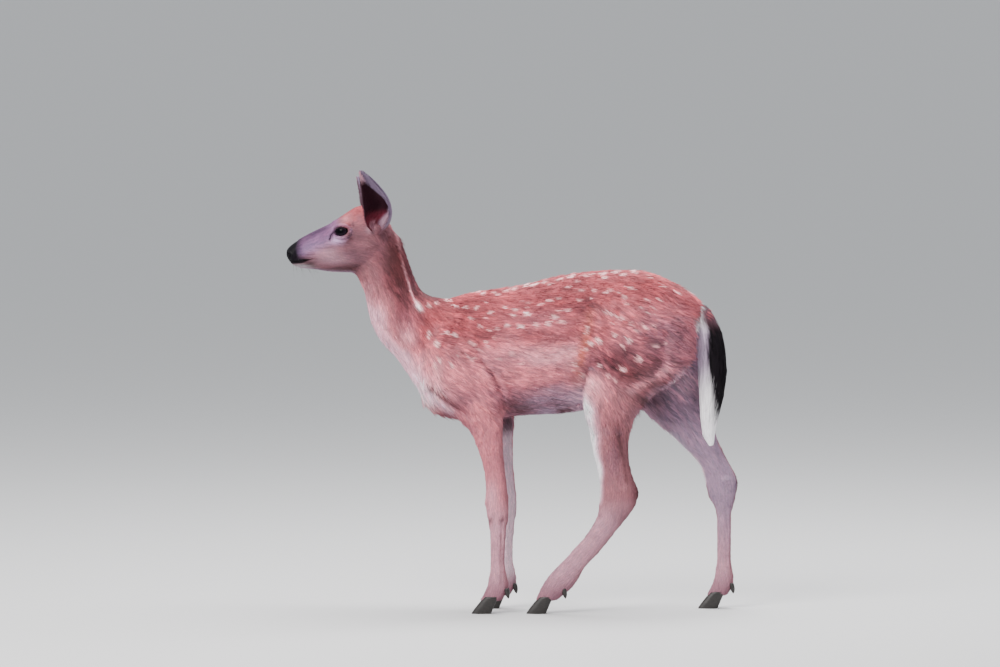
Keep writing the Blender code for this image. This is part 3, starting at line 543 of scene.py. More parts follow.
def coat_colours(p, n):
    """The coat's colour at points p whose outward normals are n: pigments laid one over another."""
    x, y, z = p.T
    wave = mottle(p, 0.060, 3)
    fine = mottle(p, 0.016, 4)
    side_y = np.abs(y)
    colours = np.tile(np.array(RUFOUS), (len(p), 1))

    def lay(pigment, share):
        """Brings each point nearer to the pigment by its share."""
        colours[:] = mixed(colours, pigment, share)

    def dab(pigment, share, *oval, rough=0.0):
        """A soft oval of pigment (x, z, reach along and up, lean), broken up by the fine mottle."""
        lay(pigment, share * blob(p, *oval) * (1 + rough * fine))

    def line(pigment, share, path, width):
        """A soft line of pigment: e to the minus square of the distance from it over its width."""
        lay(pigment, share * np.exp(-((from_path(p, path) / width) ** 2)))

    lay(DEEP, 0.09 + 0.09 * wave)
    ridge = (1 - ease(below_spine(p), 0.030, 0.070)) * ease(x, -0.10, -0.02) * (1 - ease(x, 0.20, 0.30))
    lay(PINK, 0.10 * ridge * (0.8 + 0.2 * fine))
    dab(FLANK, 0.55, 0.050, 0.584, 0.085, 0.024)

    # Trunk: paler down the flank, with a light band that holds the faded spots
    barrel = ease(x, -0.150, -0.110) * (1 - ease(x, 0.125, 0.155))
    low = (1 - ease(z + 0.008 * wave, 0.500, 0.585)) * ease(x, -0.16, -0.11)
    lay(FLANK, 0.90 * low)
    rearward = 0.25 + 0.75 * ease(x, -0.02, 0.06)
    band = (z - 0.515 + 0.008 * wave) / 0.022
    lay(BLOOM, 0.62 * barrel * rearward * np.exp(-(band**2)))
    dab(RUFOUS, 0.50, -0.092, 0.525, 0.036, 0.038)
    band = (z - 0.474 + 0.006 * wave) / 0.020
    lay(PINK, 0.65 * barrel * np.exp(-(band**2)))
    # Painted shade along the lower edge of the barrel
    lay(DUSK, 0.80 * barrel * (1 - ease(z + 0.006 * wave, 0.418, 0.462)))
    dab(PINK, 0.75, -0.062, 0.410, 0.022, 0.040)
    line(GLOW, 0.75 + 0.3 * fine, FLANK_FOLD, 0.0095)
    # Painted shade in the hollow of the loin
    dab(DEEP, 0.85, 0.158, 0.616, 0.026, 0.014, rough=0.3)

    # Haunch and rump: painted light on the top, and painted shade in the hollows, the groin and along the
    # belly
    # Painted light on the top of the haunch
    dab(PINK, 0.55, 0.225, 0.590, 0.070, 0.035, rough=0.3)
    # Painted shade along the haunch's diagonal hollow
    dab(DEEP, 0.88, 0.203, 0.503, 0.070, 0.033, 0.30, rough=0.14)
    dab(UMBER, 0.82, 0.258, 0.482, 0.050, 0.017, 0.50, rough=0.15)
    dab(DUSK, 0.75, 0.315, 0.565, 0.060, 0.048, rough=0.25)
    dab(UMBER, 0.45, 0.335, 0.575, 0.018, 0.030, rough=0.35)
    dab(TAN, 0.85, 0.300, 0.472, 0.056, 0.034, 0.45, rough=0.25)
    # Painted light on the top of the rump
    dab(PINK, 0.40, 0.310, 0.606, 0.055, 0.014)
    # Painted shade between the thigh's muscles, at the haunch's rear and in the groin
    dab(UMBER, 0.34, 0.282, 0.505, 0.026, 0.052, rough=0.3)
    dab(DUSK, 0.60, 0.320, 0.510, 0.055, 0.065)
    dab(UMBER, 0.50, 0.235, 0.480, 0.030, 0.014, 0.3, rough=0.15)
    dab(UMBER, 0.50, 0.285, 0.430, 0.040, 0.034, 0.4)
    # Painted shade on the belly behind the elbow
    dab(UMBER, 0.50 * barrel, 0.040, 0.414, 0.075, 0.016)
    lay(TAN, 0.85 * (1 - ease(z + 0.25 * (x - 0.2), 0.440, 0.480)) * ease(x, 0.110, 0.140))
    # Painted shade low on the haunch
    dab(UMBER, 0.35, 0.282, 0.452, 0.050, 0.014, 0.5)
    dab(BLOOM, 0.95, 0.160, 0.448, 0.022, 0.026)
    # Painted shade at the foot of the flank fold
    dab(UMBER, 0.80, 0.110, 0.408, 0.020, 0.020)
    dab(PINK, 0.45, 0.185, 0.420, 0.030, 0.040)

    # Breast, shoulder and neck: a side darkened by painted shade, most under the jaw and at the nape,
    # between a pale front and a pale line by the crest
    front = from_path(p, NECK_FRONT)
    neck = (1 - ease(x, -0.205, -0.165)) * (1 - ease(z, 0.76, 0.80))
    lay(DUSK, 0.35 * neck)
    dab(DEEP, 0.92 * neck, -0.226, 0.680, 0.030, 0.080, 0.15, rough=0.15)
    dab(UMBER, 0.55 * neck, -0.236, 0.664, 0.016, 0.060, 0.2, rough=0.3)
    dab(FLANK, 0.85, -0.212, 0.556, 0.017, 0.030)
    lay(TAN, 0.75 * neck * (1 - ease(front + 0.004 * wave, 0.026, 0.062)))
    low_neck = 1 - ease(z + 0.004 * wave, 0.585, 0.665)
    lay(PINK, 0.85 * (1 - ease(front + 0.006 * wave, 0.016, 0.062)) * low_neck)
    lay(PALE, 0.90 * (1 - ease(front + 0.005 * wave, 0.004, 0.036)) * low_neck)
    dab(PALE, 0.85, -0.176, 0.452, 0.038, 0.046)
    dab(WHITE, 0.55, -0.165, 0.437, 0.028, 0.026)
    dab(PINK, 0.70, -0.118, 0.462, 0.034, 0.040)
    dab(PINK, 0.90, -0.155, 0.492, 0.020, 0.044)
    dab(BLOOM, 0.45, -0.152, 0.482, 0.012, 0.022)
    dab(PINK, 0.40, -0.152, 0.562, 0.012, 0.014)
    # Painted shade under the brisket and in the creases of the breast and elbow
    dab(UMBER, 0.55, -0.128, 0.400, 0.026, 0.016, -0.5)
    below_crease = from_path(p, [(-0.172, 0.438), (-0.145, 0.420), (-0.118, 0.404)])
    lay(PALE, 0.60 * (1 - ease(below_crease, 0.004, 0.013)))
    line(UMBER, 0.78, BREAST_CREASE, 0.0042)
    line(UMBER, 0.62, ELBOW_CREASE, 0.0046)
    dab(FACE, 0.75, -0.258, 0.722, 0.020, 0.034)
    # Painted shade on the neck's side and under the jaw
    dab(UMBER, 0.50 * neck, -0.232, 0.705, 0.014, 0.050, 0.25, rough=0.3)
    dab(UMBER, 0.30, -0.305, 0.674, 0.016, 0.012)
    dab(UMBER, 0.44, -0.246, 0.706, 0.034, 0.048, 0.2)
    dab(UMBER, 0.62, -0.206, 0.650, 0.014, 0.032, 0.3)
    dab(BLOOM, 0.55, -0.209, 0.550, 0.016, 0.016)
    dab(UMBER, 0.22, -0.212, 0.628, 0.022, 0.032)
    dab(NECK_SHADE, 0.50, -0.226, 0.698, 0.020, 0.050, 0.2)
    # Painted shade on the nape, behind the crest
    crest_x = np.interp(z, [0.614, 0.664, 0.744, 0.790], [-0.191, -0.211, -0.231, -0.243])
    behind = ease(x - crest_x, 0.000, 0.004) * ease(z, 0.610, 0.640) * (1 - ease(z, 0.76, 0.79))
    lay(DEEP, 0.85 * behind * (x < -0.14))
    faint = 0.24 + 0.38 * (1 - ease(z, 0.66, 0.71))
    line(BLOOM, faint * (1 + 0.25 * fine) * (x > -0.26), CREST_LINE, 0.0021)
    # Painted shade at the withers
    lay(DEEP, 0.72 * blob(p, -0.158, 0.630, 0.036, 0.013) * (x > -0.19))
    dab(WHITE, 0.72, -0.187, 0.611, 0.0075, 0.0045, -0.9)

    # Legs: tan, with pale fronts and knees, a dark hock, white inner sides in painted shade, and painted
    # shade in the hollows of knee and hock
    leg = 1 - ease(z, 0.380, 0.440)
    foreleg = leg * (x < 0.060) * ease(x, -0.130, -0.095)
    lay(PINK, 0.72 * foreleg)
    shin = (1 - ease(z, 0.17, 0.24)) * leg
    lay(PALE, 0.70 * shin)
    lay(DUSK, 0.36 * shin * (1 + 0.08 * fine))
    lay(TAN, 0.70 * leg * ease(n[:, 0], 0.2, 0.9))
    for side in (LEFT, RIGHT):
        on_side = y * side > 0
        knee_x, knee_z = KNEE[side]
        hock_x, hock_z = HOCK[side]
        dab(PALE, 0.45 * on_side, knee_x - 0.006, knee_z + 0.010, 0.016, 0.030)
        # Painted shade in the hollows under the knee and in the groove down the cannon
        for hollow_x in (knee_x - 0.006, knee_x + 0.017):
            dab(UMBER, 0.60 * on_side, hollow_x, knee_z - 0.038, 0.006, 0.008)
        groove = [(knee_x + 0.014, 0.158), (knee_x + 0.015, 0.100), (knee_x + 0.013, 0.060)]
        line(UMBER, 0.32 * on_side, groove, 0.0026)
        # Painted shade in the hock's hollows, before its cord and below it
        dab(UMBER, 0.58 * on_side, hock_x - 0.040, hock_z + 0.108, 0.016, 0.044)
        dab(UMBER, 0.40 * on_side, hock_x - 0.016, hock_z + 0.050, 0.010, 0.040)
        dab(DUSK, 0.60 * on_side, hock_x - 0.050, hock_z + 0.066, 0.014, 0.036)
        cord = np.array([(-0.042, 0.134), (-0.030, 0.076), (-0.023, 0.030)]) + HOCK[side]
        line(UMBER, 0.50 * on_side, cord, 0.0042)
        dab(DEEP, 0.85 * on_side, hock_x + 0.002, hock_z + 0.004, 0.013, 0.028)
        dab(UMBER, 0.45 * on_side, hock_x - 0.032, hock_z - 0.044, 0.024, 0.022, 0.7)
        edge = from_path(p, SHANK_FRONT[side]) + 0.0015 * wave
        breadth = 0.012 + 0.015 * ease(z, 0.28, 0.37)
        fades = on_side * (1 - ease(z, 0.405, 0.455)) * ease(z, 0.17, 0.22)
        lay(PALE, 0.80 * fades * (1 - ease(edge, 0.40 * breadth, 1.20 * breadth)))
        lay(WHITE, fades * (1 - ease(edge, 0.15 * breadth, 0.80 * breadth)))
    # The inner sides, found by where their normals point, are white hair in painted shade
    inner = ease(-n[:, 1] * np.sign(y), 0.15, 0.75) * ease(side_y, 0.004, 0.012)
    inner *= 1 - ease(z, 0.47, 0.49) * (x < 0.2) - ease(z, 0.53, 0.56) * (x >= 0.2)
    lay(SHADE_WHITE, 0.90 * inner * ease(z, 0.06, 0.24))
    shin_inner = inner * ease(z, 0.03, 0.08) * (1 - ease(z, 0.345, 0.375)) * (x < 0.06)
    lay(SHIN_WHITE, 0.85 * shin_inner)
    # Painted shade high on the inner forelegs and in the groin
    lay(UMBER, 0.80 * inner * ease(z, 0.335, 0.375) * (x < 0.06))
    dab(UMBER, 0.55, 0.285, 0.408, 0.032, 0.030)
    dab(PALE, 0.40 * inner, 0.350, 0.455, 0.035, 0.035)
    lay(DUSK, 0.70 * (1 - ease(z, 0.030, 0.085)))

    # White underside in painted shade where it faces down, and the white stern
    under = ease(-n[:, 2] + 0.10 * wave, 0.15, 0.85) * (z > 0.36) * (z < 0.50) * ease(x, -0.14, -0.06)
    lay(DUSK, 0.80 * under)
    lay(SHADE_WHITE, 0.85 * under * ease(x, -0.02, 0.08))
    lay(PALE, 0.35 * under * ease(x, 0.08, 0.13))
    # Painted shade in the folds and hollows
    for crease_x, crease_z, reach_x, reach_z, lean, dark in CREASE_SHADOWS:
        dab(UMBER, dark, crease_x, crease_z, reach_x, reach_z, lean, rough=0.2)
    line(BLOOM, 0.32, [(0.318, 0.496), (0.280, 0.470), (0.236, 0.448)], 0.007)
    stern = ease(n[:, 0], 0.35, 0.80) * ease(x, 0.285, 0.330) * (1 - ease(side_y, 0.018, 0.034))
    lay(WHITE, 0.85 * stern * ease(z, 0.36, 0.42) * (1 - ease(z, 0.570, 0.600)))

    lay(SPOT, spot_share(p) * (x > -0.20) * (z > 0.42))

    # Head: grey-mauve muzzle, rufous brow and crown, a light patch under the eye
    head = (1 - ease((x + 0.331) * 0.792 - (z - 0.646) * 0.611, -0.014, 0.012)) * (z > 0.64)
    lay(FACE, head)
    brow = 0.003 * fine + from_path(p, BROW)
    lay(RUFOUS, 0.90 * head * (1 - ease(brow, 0.008, 0.030)))
    dab(UMBER, 0.75 * head * (1 - ease(brow, 0.002, 0.013)), -0.345, 0.785, 0.024, 0.016, -0.6)
    bridge = from_path(p, [(-0.440, 0.728), (-0.410, 0.748), (-0.366, 0.770)])
    lay(MAUVE, 0.92 * head * (1 - ease(bridge, 0.014, 0.036)))
    dab(BLUISH, 0.50 * head, -0.392, 0.730, 0.030, 0.012, 0.3)
    lay(SLATE, 0.45 * head * ease(n[:, 2], 0.45, 0.85) * (1 - ease(x, -0.375, -0.355)))
    top = from_path(p, [(-0.434, 0.733), (-0.414, 0.747), (-0.378, 0.771)])
    lay(SLATE, 0.42 * head * (1 - ease(top, 0.002, 0.010)))
    dab(LILAC, 0.90 * head, -0.350, 0.7470, 0.015, 0.0080, 0.1)
    dab(PALE, 0.40 * head, -0.358, 0.706, 0.036, 0.018, -0.10)
    dab(PALE, 0.30 * head, -0.366, 0.723, 0.018, 0.010)
    dab(BLOOM, 0.45 * head, -0.333, 0.785, 0.015, 0.007, 0.6)
    dab(PINK, 0.42 * head, -0.300, 0.782, 0.022, 0.014)
    dab(TAN, 0.50 * head, -0.285, 0.745, 0.030, 0.030)
    # Painted shade behind the cheek and behind the light patch under the eye
    dab(UMBER, 0.35 * head, -0.268, 0.742, 0.018, 0.020)
    dab(UMBER, 0.45 * head, -0.322, 0.750, 0.006, 0.012, -0.5)
    # Painted shade along the underside of the jaw
    dab(UMBER, 0.80 * head, -0.320, 0.690, 0.075, 0.010)
    dab(PALE, 0.85 * head, -0.283, 0.770, 0.007, 0.008)
    eye = np.hypot((x - EYE[0] + 0.001) / 1.42, z - EYE[2])
    ring = (eye - 0.0140) / 0.0018
    lay(BLUISH, 0.30 * head * np.exp(-(ring**2)))
    lay(BLACK, 0.97 * head * (1 - ease(eye, 0.0072, 0.0088)))
    for path, width, dark in WRINKLES:
        line(UMBER, dark * head, path, width)
    line(BLACK, 0.95 * head, [(-0.354, 0.764), (-0.361, 0.756), (-0.364, 0.747)], 0.0020)  # the gland
    dab(WHITE, 0.42 * head, -0.424, 0.6925, 0.022, 0.0060)
    # White under the chin, in painted shade
    lay(SHADE_WHITE, 0.55 * head * ease(-n[:, 2], 0.75, 0.98) * (1 - ease(z, 0.69, 0.70)))
    lips = from_path(p, [(-0.456, 0.7015), (-0.440, 0.7020), (-0.420, 0.7035), (-0.399, 0.7080)])
    lips += 0.0040 * ease(x, -0.424, -0.396)
    lay(BLACK, 0.97 * head * (1 - ease(lips, 0.0030, 0.0058)) * (1 - ease(x, -0.400, -0.388)))
    # Painted shade below the mouth
    dab(UMBER, 0.60 * head, -0.405, 0.6990, 0.012, 0.0045)
    lay(SLATE, 0.85 * head * ease(-x, 0.414, 0.432) * ease(z, 0.7020, 0.7060))
    ahead = -x + 0.0025 * fine - 0.1 * (z - 0.715)
    lay(BLACK, 0.95 * head * ease(ahead, 0.421, 0.436) * ease(z, 0.7010, 0.7040))
    dab(BLACK, 0.75 * head, -0.422, 0.707, 0.016, 0.008)
    return np.clip(mixed(colours, BLACK, nose_share(p)), 0.0, 1.0)


def nose_share(p):
    """1 on the bare wet pad of the nose and 0 off it. Its upper edge slopes back a little."""
    return ease(-p[:, 0] - 0.30 * (0.7265 - p[:, 2]), 0.4325, 0.4365) * ease(p[:, 2], 0.7030, 0.7055)


def painted(mesh, name, colours):
    """Puts a colour on each of the mesh's points."""
    layer = mesh.attributes.new(name, "FLOAT_COLOR", "POINT")
    rgba = np.ones((len(colours), 4), np.float32)
    rgba[:, :3] = colours
    layer.data.foreach_set("color", rgba.ravel())


def new_look(name, **sockets):
    """A material with its tree and shader. Each named socket (Base_Color for Base Color) is set."""
    look = bpy.data.materials.new(name)
    look.use_nodes = True
    shader = look.node_tree.nodes["Principled BSDF"]
    for socket, value in sockets.items():
        shader.inputs[socket.replace("_", " ")].default_value = value
    return look, look.node_tree, shader


def coat_look(name, roughness, strands):
    """A matt finish in the painted colour, broken up by strands along each lock or by a fine grain."""
    look, tree, shader = new_look(name, Roughness=roughness, Specular_IOR_Level=0.12)
    paint = tree.nodes.new("ShaderNodeAttribute")
    paint.attribute_name = "paint"
    grain = tree.nodes.new("ShaderNodeTexNoise")
    grain.inputs["Detail"].default_value = 2.0
    if strands:
        place = tree.nodes.new("ShaderNodeUVMap")
        place.uv_map = "lock"
        stretch = tree.nodes.new("ShaderNodeMapping")
        stretch.inputs["Scale"].default_value = (9.0, 1.2, 1.0)
        tree.links.new(place.outputs["UV"], stretch.inputs["Vector"])
        tree.links.new(stretch.outputs["Vector"], grain.inputs["Vector"])
        grain.inputs["Scale"].default_value = 1.0
    else:
        place = tree.nodes.new("ShaderNodeTexCoord")
        tree.links.new(place.outputs["Object"], grain.inputs["Vector"])
        grain.inputs["Scale"].default_value = 700.0
    level = tree.nodes.new("ShaderNodeMapRange")
    level.inputs["From Min"].default_value = 0.3
    level.inputs["From Max"].default_value = 0.7
    level.inputs["To Min"].default_value = 0.74
    level.inputs["To Max"].default_value = 1.24
    shade = tree.nodes.new("ShaderNodeVectorMath")
    shade.operation = "SCALE"
    tree.links.new(grain.outputs["Fac"], level.inputs["Value"])
    tree.links.new(paint.outputs["Color"], shade.inputs[0])
    tree.links.new(level.outputs["Result"], shade.inputs["Scale"])
    tree.links.new(shade.outputs["Vector"], shader.inputs["Base Color"])
    return look, tree, shader


def coat_length(p):
    """17 mm on the body, 24 on the rump, 22 on the breast, 8 on shanks and head, 3 by the nose."""
    length = 0.0175 + 0.0065 * ease(p[:, 0], 0.24, 0.34) * ease(p[:, 2], 0.42, 0.50)
    length += 0.0050 * ease(-p[:, 0], 0.11, 0.15) * (1 - ease(p[:, 2], 0.46, 0.54))
    shank = 1 - ease(p[:, 2], 0.24, 0.42)
    length = length * (1 - shank) + 0.0085 * shank
    length = length * (1 - ease(-p[:, 0], 0.20, 0.30) * ease(p[:, 2], 0.62, 0.70) * 0.52)
    face = ease(-p[:, 0], 0.30, 0.43) * ease(p[:, 2], 0.66, 0.68)
    length = length * (1 - face) + 0.0030 * face
    length *= 1 - 0.50 * blob(p, 0.126, 0.404, 0.024, 0.016)
    return length * (1 - 0.45 * (1 - ease(p[:, 2], 0.03, 0.08)))


# Under long hair the hide is seen only in the gaps between locks, so it is painted darker there, as shade
short_hair = 1 - ease(coat_length(hide), 0.008, 0.016)
hide_shade = 0.62 + 0.30 * short_hair + 0.38 * nose_share(hide) * (1 - short_hair)
painted(skin.data, "paint", coat_colours(hide, out) * hide_shade[:, None])
wet = skin.data.attributes.new("wet", "FLOAT", "POINT")
wet.data.foreach_set("value", nose_share(hide).astype(np.float32))

hide_look, tree, shader = coat_look("hide", 0.72, strands=False)
pad = tree.nodes.new("ShaderNodeAttribute")
pad.attribute_name = "wet"
gloss = tree.nodes.new("ShaderNodeMapRange")
gloss.inputs["To Min"].default_value = 0.72
gloss.inputs["To Max"].default_value = 0.52
tree.links.new(pad.outputs["Fac"], gloss.inputs["Value"])
tree.links.new(gloss.outputs["Result"], shader.inputs["Roughness"])
skin.data.materials.append(hide_look)
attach(skin, "root")
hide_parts(*FLESH, "tail")

# ---------------------------------------------------------------------------------------
# Coat. Short summer hair in overlapping locks that lie along the body, longest on the rump
# and breast and shortest on the face and feet. Each lock is a thin ridged blade of hair.
# ---------------------------------------------------------------------------------------
LIE = np.array([  # x, z, direction of the hair in x and z, how far it holds
    (-0.430, 0.728, 1.00, 0.45, 0.014), (-0.400, 0.748, 1.00, 0.50, 0.016),
    (-0.360, 0.772, 1.00, 0.50, 0.016), (-0.320, 0.803, 0.80, 0.55, 0.018),
    (-0.280, 0.815, 1.00, -0.05, 0.018), (-0.245, 0.800, 0.90, -0.50, 0.018),
    (-0.410, 0.722, 1.00, 0.15, 0.014), (-0.420, 0.704, 1.00, 0.00, 0.012),
    (-0.365, 0.730, 1.00, -0.05, 0.018), (-0.315, 0.722, 1.00, -0.25, 0.022),
    (-0.335, 0.688, 1.00, -0.10, 0.020), (-0.345, 0.748, 1.00, -0.15, 0.010),
    (-0.345, 0.782, 1.00, 0.30, 0.010), (-0.305, 0.765, 1.00, -0.05, 0.014),
    (-0.270, 0.745, 0.85, -0.50, 0.018), (-0.295, 0.690, 0.75, -0.65, 0.016),
    (-0.235, 0.735, 0.50, -0.87, 0.025), (-0.225, 0.670, 0.42, -0.90, 0.030),
    (-0.285, 0.620, 0.30, -0.95, 0.025), (-0.195, 0.700, 0.45, -0.90, 0.022),
    (-0.220, 0.580, 0.42, -0.90, 0.035), (-0.160, 0.645, 0.75, -0.65, 0.022),
    (-0.195, 0.490, 0.30, -0.95, 0.030), (-0.160, 0.415, 0.80, -0.60, 0.025),
    (-0.120, 0.570, 0.90, -0.42, 0.035), (-0.100, 0.480, 0.82, -0.55, 0.035),
    (-0.045, 0.425, 0.60, -0.80, 0.025), (-0.120, 0.632, 0.95, -0.30, 0.025),
    (-0.030, 0.650, 1.00, -0.14, 0.030), (0.050, 0.660, 1.00, -0.12, 0.030),
    (0.150, 0.680, 1.00, -0.08, 0.035), (0.240, 0.682, 1.00, -0.14, 0.030),
    (0.310, 0.660, 0.90, -0.45, 0.025), (-0.020, 0.590, 0.98, -0.20, 0.035),
    (0.080, 0.590, 0.99, -0.16, 0.040), (-0.010, 0.510, 0.98, -0.20, 0.035),
    (0.090, 0.510, 0.99, -0.12, 0.035), (0.000, 0.440, 0.98, -0.18, 0.030),
    (0.080, 0.430, 0.97, -0.18, 0.030), (0.137, 0.520, 0.80, -0.60, 0.022),
    (0.132, 0.450, 0.70, -0.72, 0.020), (0.200, 0.600, 0.84, -0.54, 0.035),
    (0.200, 0.520, 0.80, -0.60, 0.035), (0.290, 0.600, 0.92, -0.38, 0.030),
    (0.290, 0.520, 0.93, -0.36, 0.035), (0.355, 0.570, 0.60, -0.80, 0.022),
    (0.340, 0.470, 0.66, -0.75, 0.024), (0.190, 0.430, 0.40, -0.92, 0.026),
    (0.275, 0.450, 0.90, -0.44, 0.026), (0.235, 0.440, 0.76, -0.65, 0.020),
])
SHANKS = {  # the legs' own lie: x, z, direction and how far it holds
    LEFT: [
        (-0.030, 0.330, 0.10, -1.00, 0.040), (-0.030, 0.250, 0.00, -1.00, 0.040),
        (-0.030, 0.120, 0.00, -1.00, 0.060), (-0.040, 0.040, -0.30, -0.95, 0.020),
        (0.190, 0.350, 0.15, -0.98, 0.035), (0.205, 0.280, 0.10, -0.99, 0.030),
        (0.205, 0.220, -0.20, -0.98, 0.020), (0.160, 0.150, -0.66, -0.75, 0.030),
        (0.110, 0.090, -0.66, -0.75, 0.025), (0.070, 0.035, -0.45, -0.90, 0.020),
    ],
    RIGHT: [
        (-0.010, 0.330, 0.10, -1.00, 0.040), (-0.010, 0.250, 0.00, -1.00, 0.040),
        (-0.010, 0.120, 0.00, -1.00, 0.060), (-0.020, 0.040, -0.30, -0.95, 0.020),
        (0.270, 0.420, 0.60, -0.80, 0.040), (0.340, 0.370, 0.65, -0.76, 0.030),
        (0.390, 0.310, 0.60, -0.80, 0.025), (0.425, 0.240, 0.10, -1.00, 0.025),
        (0.425, 0.140, 0.00, -1.00, 0.050), (0.412, 0.040, -0.30, -0.95, 0.020),
    ],
}


def lie_of(p, n):
    """The way the hair points: the named directions blended by nearness, laid along the hide."""
    way = np.zeros_like(p)
    for side in (LEFT, RIGHT):
        rows = np.vstack([LIE, SHANKS[side]])
        on_side = p[:, 1] > 0 if side == RIGHT else p[:, 1] <= 0
        q = p[on_side]
        total = np.zeros((len(q), 3))
        for x, z, dx, dz, reach in rows:
            weight = np.exp(-((q[:, 0] - x) ** 2 + (q[:, 2] - z) ** 2) / (2 * reach * reach)) + 1e-12
            total += weight[:, None] * np.array([dx, 0.0, dz]) / math.hypot(dx, dz)
        way[on_side] = total
    way = unit(way)
    # Where the lie would point straight out of the hide, the hair hangs down instead
    hangs = (ease((way * n).sum(axis=1), 0.55, 0.90) * ease(n[:, 0], 0.15, 0.40))[:, None]
    way = way * (1 - hangs) + np.array([0.0, 0.0, -1.0]) * hangs
    spread = ease(n[:, 2], 0.4, 0.95) * 0.24 * np.clip(p[:, 1] / 0.025, -1, 1)
    way[:, 1] += spread + 0.10 * mottle(p, 0.050, 11)
    way[:, 2] += 0.13 * mottle(p, 0.045, 12)
    way -= n * (way * n).sum(axis=1)[:, None]
    return way / np.maximum(np.linalg.norm(way, axis=1, keepdims=True), 1e-6)


def bare(p):
    """Where no hair grows: the nose pad, the slit of the mouth, between the lids and under the feet."""
    shut = nose_share(p) > 0.4
    shut |= from_path(p, MOUTH) < 0.0012
    for side in (LEFT, RIGHT):
        middle, axis, forward, up = eye_frame(side)
        arm = p - middle
        ring = np.hypot(arm @ forward / EYE_LENGTH, arm @ up / EYE_HEIGHT)
        shut |= (arm @ axis > 0) & (np.linalg.norm(arm, axis=1) < 0.03) & (ring < 1.16)
    return shut


def unwrapped(p, start, end):
    """Places on a sheet rolled off round an axis: turns across it and length up it."""
    span = np.array(end, float) - start
    axis = unit(span)
    first = unit(np.cross(axis, (0, 1, 0)))
    second = np.cross(axis, first)
    arm = p - start
    turn = np.arctan2(arm @ second, arm @ first) / (2 * math.pi) + 0.5
    rise = arm @ axis / np.linalg.norm(span)
    return 0.02 + 0.96 * np.stack([turn, np.clip(rise, 0, 1)], -1)


HAIR, _, _ = coat_look("hair", 0.62, strands=True)
PATCH = 0.003  # the breadth of a lock's patch in OFBake
# One lock's points, the root, an edge, the ridge, the other edge and the tip: each one's place
# along and across it, and how light it is, with painted shade at the sunk root and painted light on the
# ridge and tip
LOCK_UV = np.array([(0.0, 0.5), (0.4, 1.0), (0.45, 0.5), (0.4, 0.0), (1.0, 0.5)])
LOCK_SHADE = np.array([0.62, 0.87, 1.03, 0.87, 1.13])
LOCK_FACES = np.array([(0, 2, 1), (0, 3, 2), (2, 4, 1), (3, 4, 2)])


def coat_piece(name, blades, blade_faces, blade_uv, colours, places, rng):
    """A piece of the coat from its blades, an array (locks, points of one, 3).

    OFBake gives each blade a patch about its root's place. The second map, lock, runs along
    the blade, and is moved by whole steps so that no two locks have the same strands.
    """
    count, corners = blades.shape[:2]
    faces = (blade_faces[None] + corners * np.arange(count)[:, None, None]).reshape(-1, 3)
    made = piece(name, blades.reshape(-1, 3), faces, HAIR)
    painted(made.data, "paint", np.clip(colours, 0, 1).reshape(-1, 3))
    corner_uv = blade_uv[blade_faces.ravel()]
    steps = np.floor(rng.uniform(0, 400, count))[:, None, None]
    patches = places[:, None, :] + PATCH * (corner_uv - 0.5)
    along_lock = corner_uv[None, :, ::-1] + steps * [1.0, 0.37]
    for uv_name, uv in (("OFBake", patches), ("lock", along_lock)):
        layer = made.data.uv_layers.new(name=uv_name)
        layer.data.foreach_set("uv", uv.astype(np.float32).ravel())
    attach(made, "root")


def locks(name, roots, normals, way, length, width, rise, colours, places, rng, tip_rise=1.0):
    """Blades of five points: a sunk root, two edges and a ridge between them, and a tip."""
    count = len(roots)
    across = np.cross(normals, way)
    height = rise[:, None] * normals
    points = np.empty((count, 5, 3))
    points[:, 0] = roots - 0.0008 * normals
    waist = roots + way * (0.36 * length)[:, None]
    points[:, 1] = waist + across * (width / 2)[:, None] + 0.50 * height
    points[:, 2] = waist + 0.78 * height
    points[:, 3] = waist - across * (width / 2)[:, None] + 0.50 * height
    lifted = (tip_rise * rng.uniform(0.70, 1.05, count))[:, None]
    points[:, 4] = roots + way * length[:, None] + lifted * height
    points[:, 4] += across * (width * rng.normal(0, 0.35, count))[:, None]
    even = 0.7 * (1 - ease(length, 0.006, 0.016))[:, None, None]
    shade = LOCK_SHADE[None, :, None] * (1 - even) + even
    coat_piece(name, points, LOCK_FACES, LOCK_UV, shade * colours[:, None, :], places, rng)


def lock_width(length):
    """0.7 mm and a sixteenth of the length."""
    return 0.0007 + 0.062 * length


def fanned(way, normals, spread, rng):
    """The way of the hair turned at random to either side, at length 1."""
    return unit(way + np.cross(normals, way) * rng.normal(0, spread, len(way))[:, None])


hide_faces = triangles_of(skin.data)


def sown(chosen, cover, rng):
    """Roots spread evenly over the chosen triangles, so that locks overlap cover times."""
    corners = hide[hide_faces[chosen]]
    first, second = corners[:, 1] - corners[:, 0], corners[:, 2] - corners[:, 0]
    area = np.linalg.norm(np.cross(first, second), axis=1) / 2
    length = coat_length(corners.mean(axis=1))
    total = np.cumsum(area / (0.5 * length * lock_width(length)) * cover)
    count = int(total[-1])
    place = np.searchsorted(total, (np.arange(count) + rng.random(count)) / count * total[-1])
    place = np.minimum(place, len(chosen) - 1)
    a, b = rng.random(count), rng.random(count)
    a, b = np.where(a + b > 1, 1 - a, a), np.where(a + b > 1, 1 - b, b)
    share = np.stack([1 - a - b, a, b], -1)[..., None]
    roots = (corners[place] * share).sum(axis=1)
    normals = unit((out[hide_faces[chosen]][place] * share).sum(axis=1))
    kept = ~bare(roots)
    return roots[kept], normals[kept]


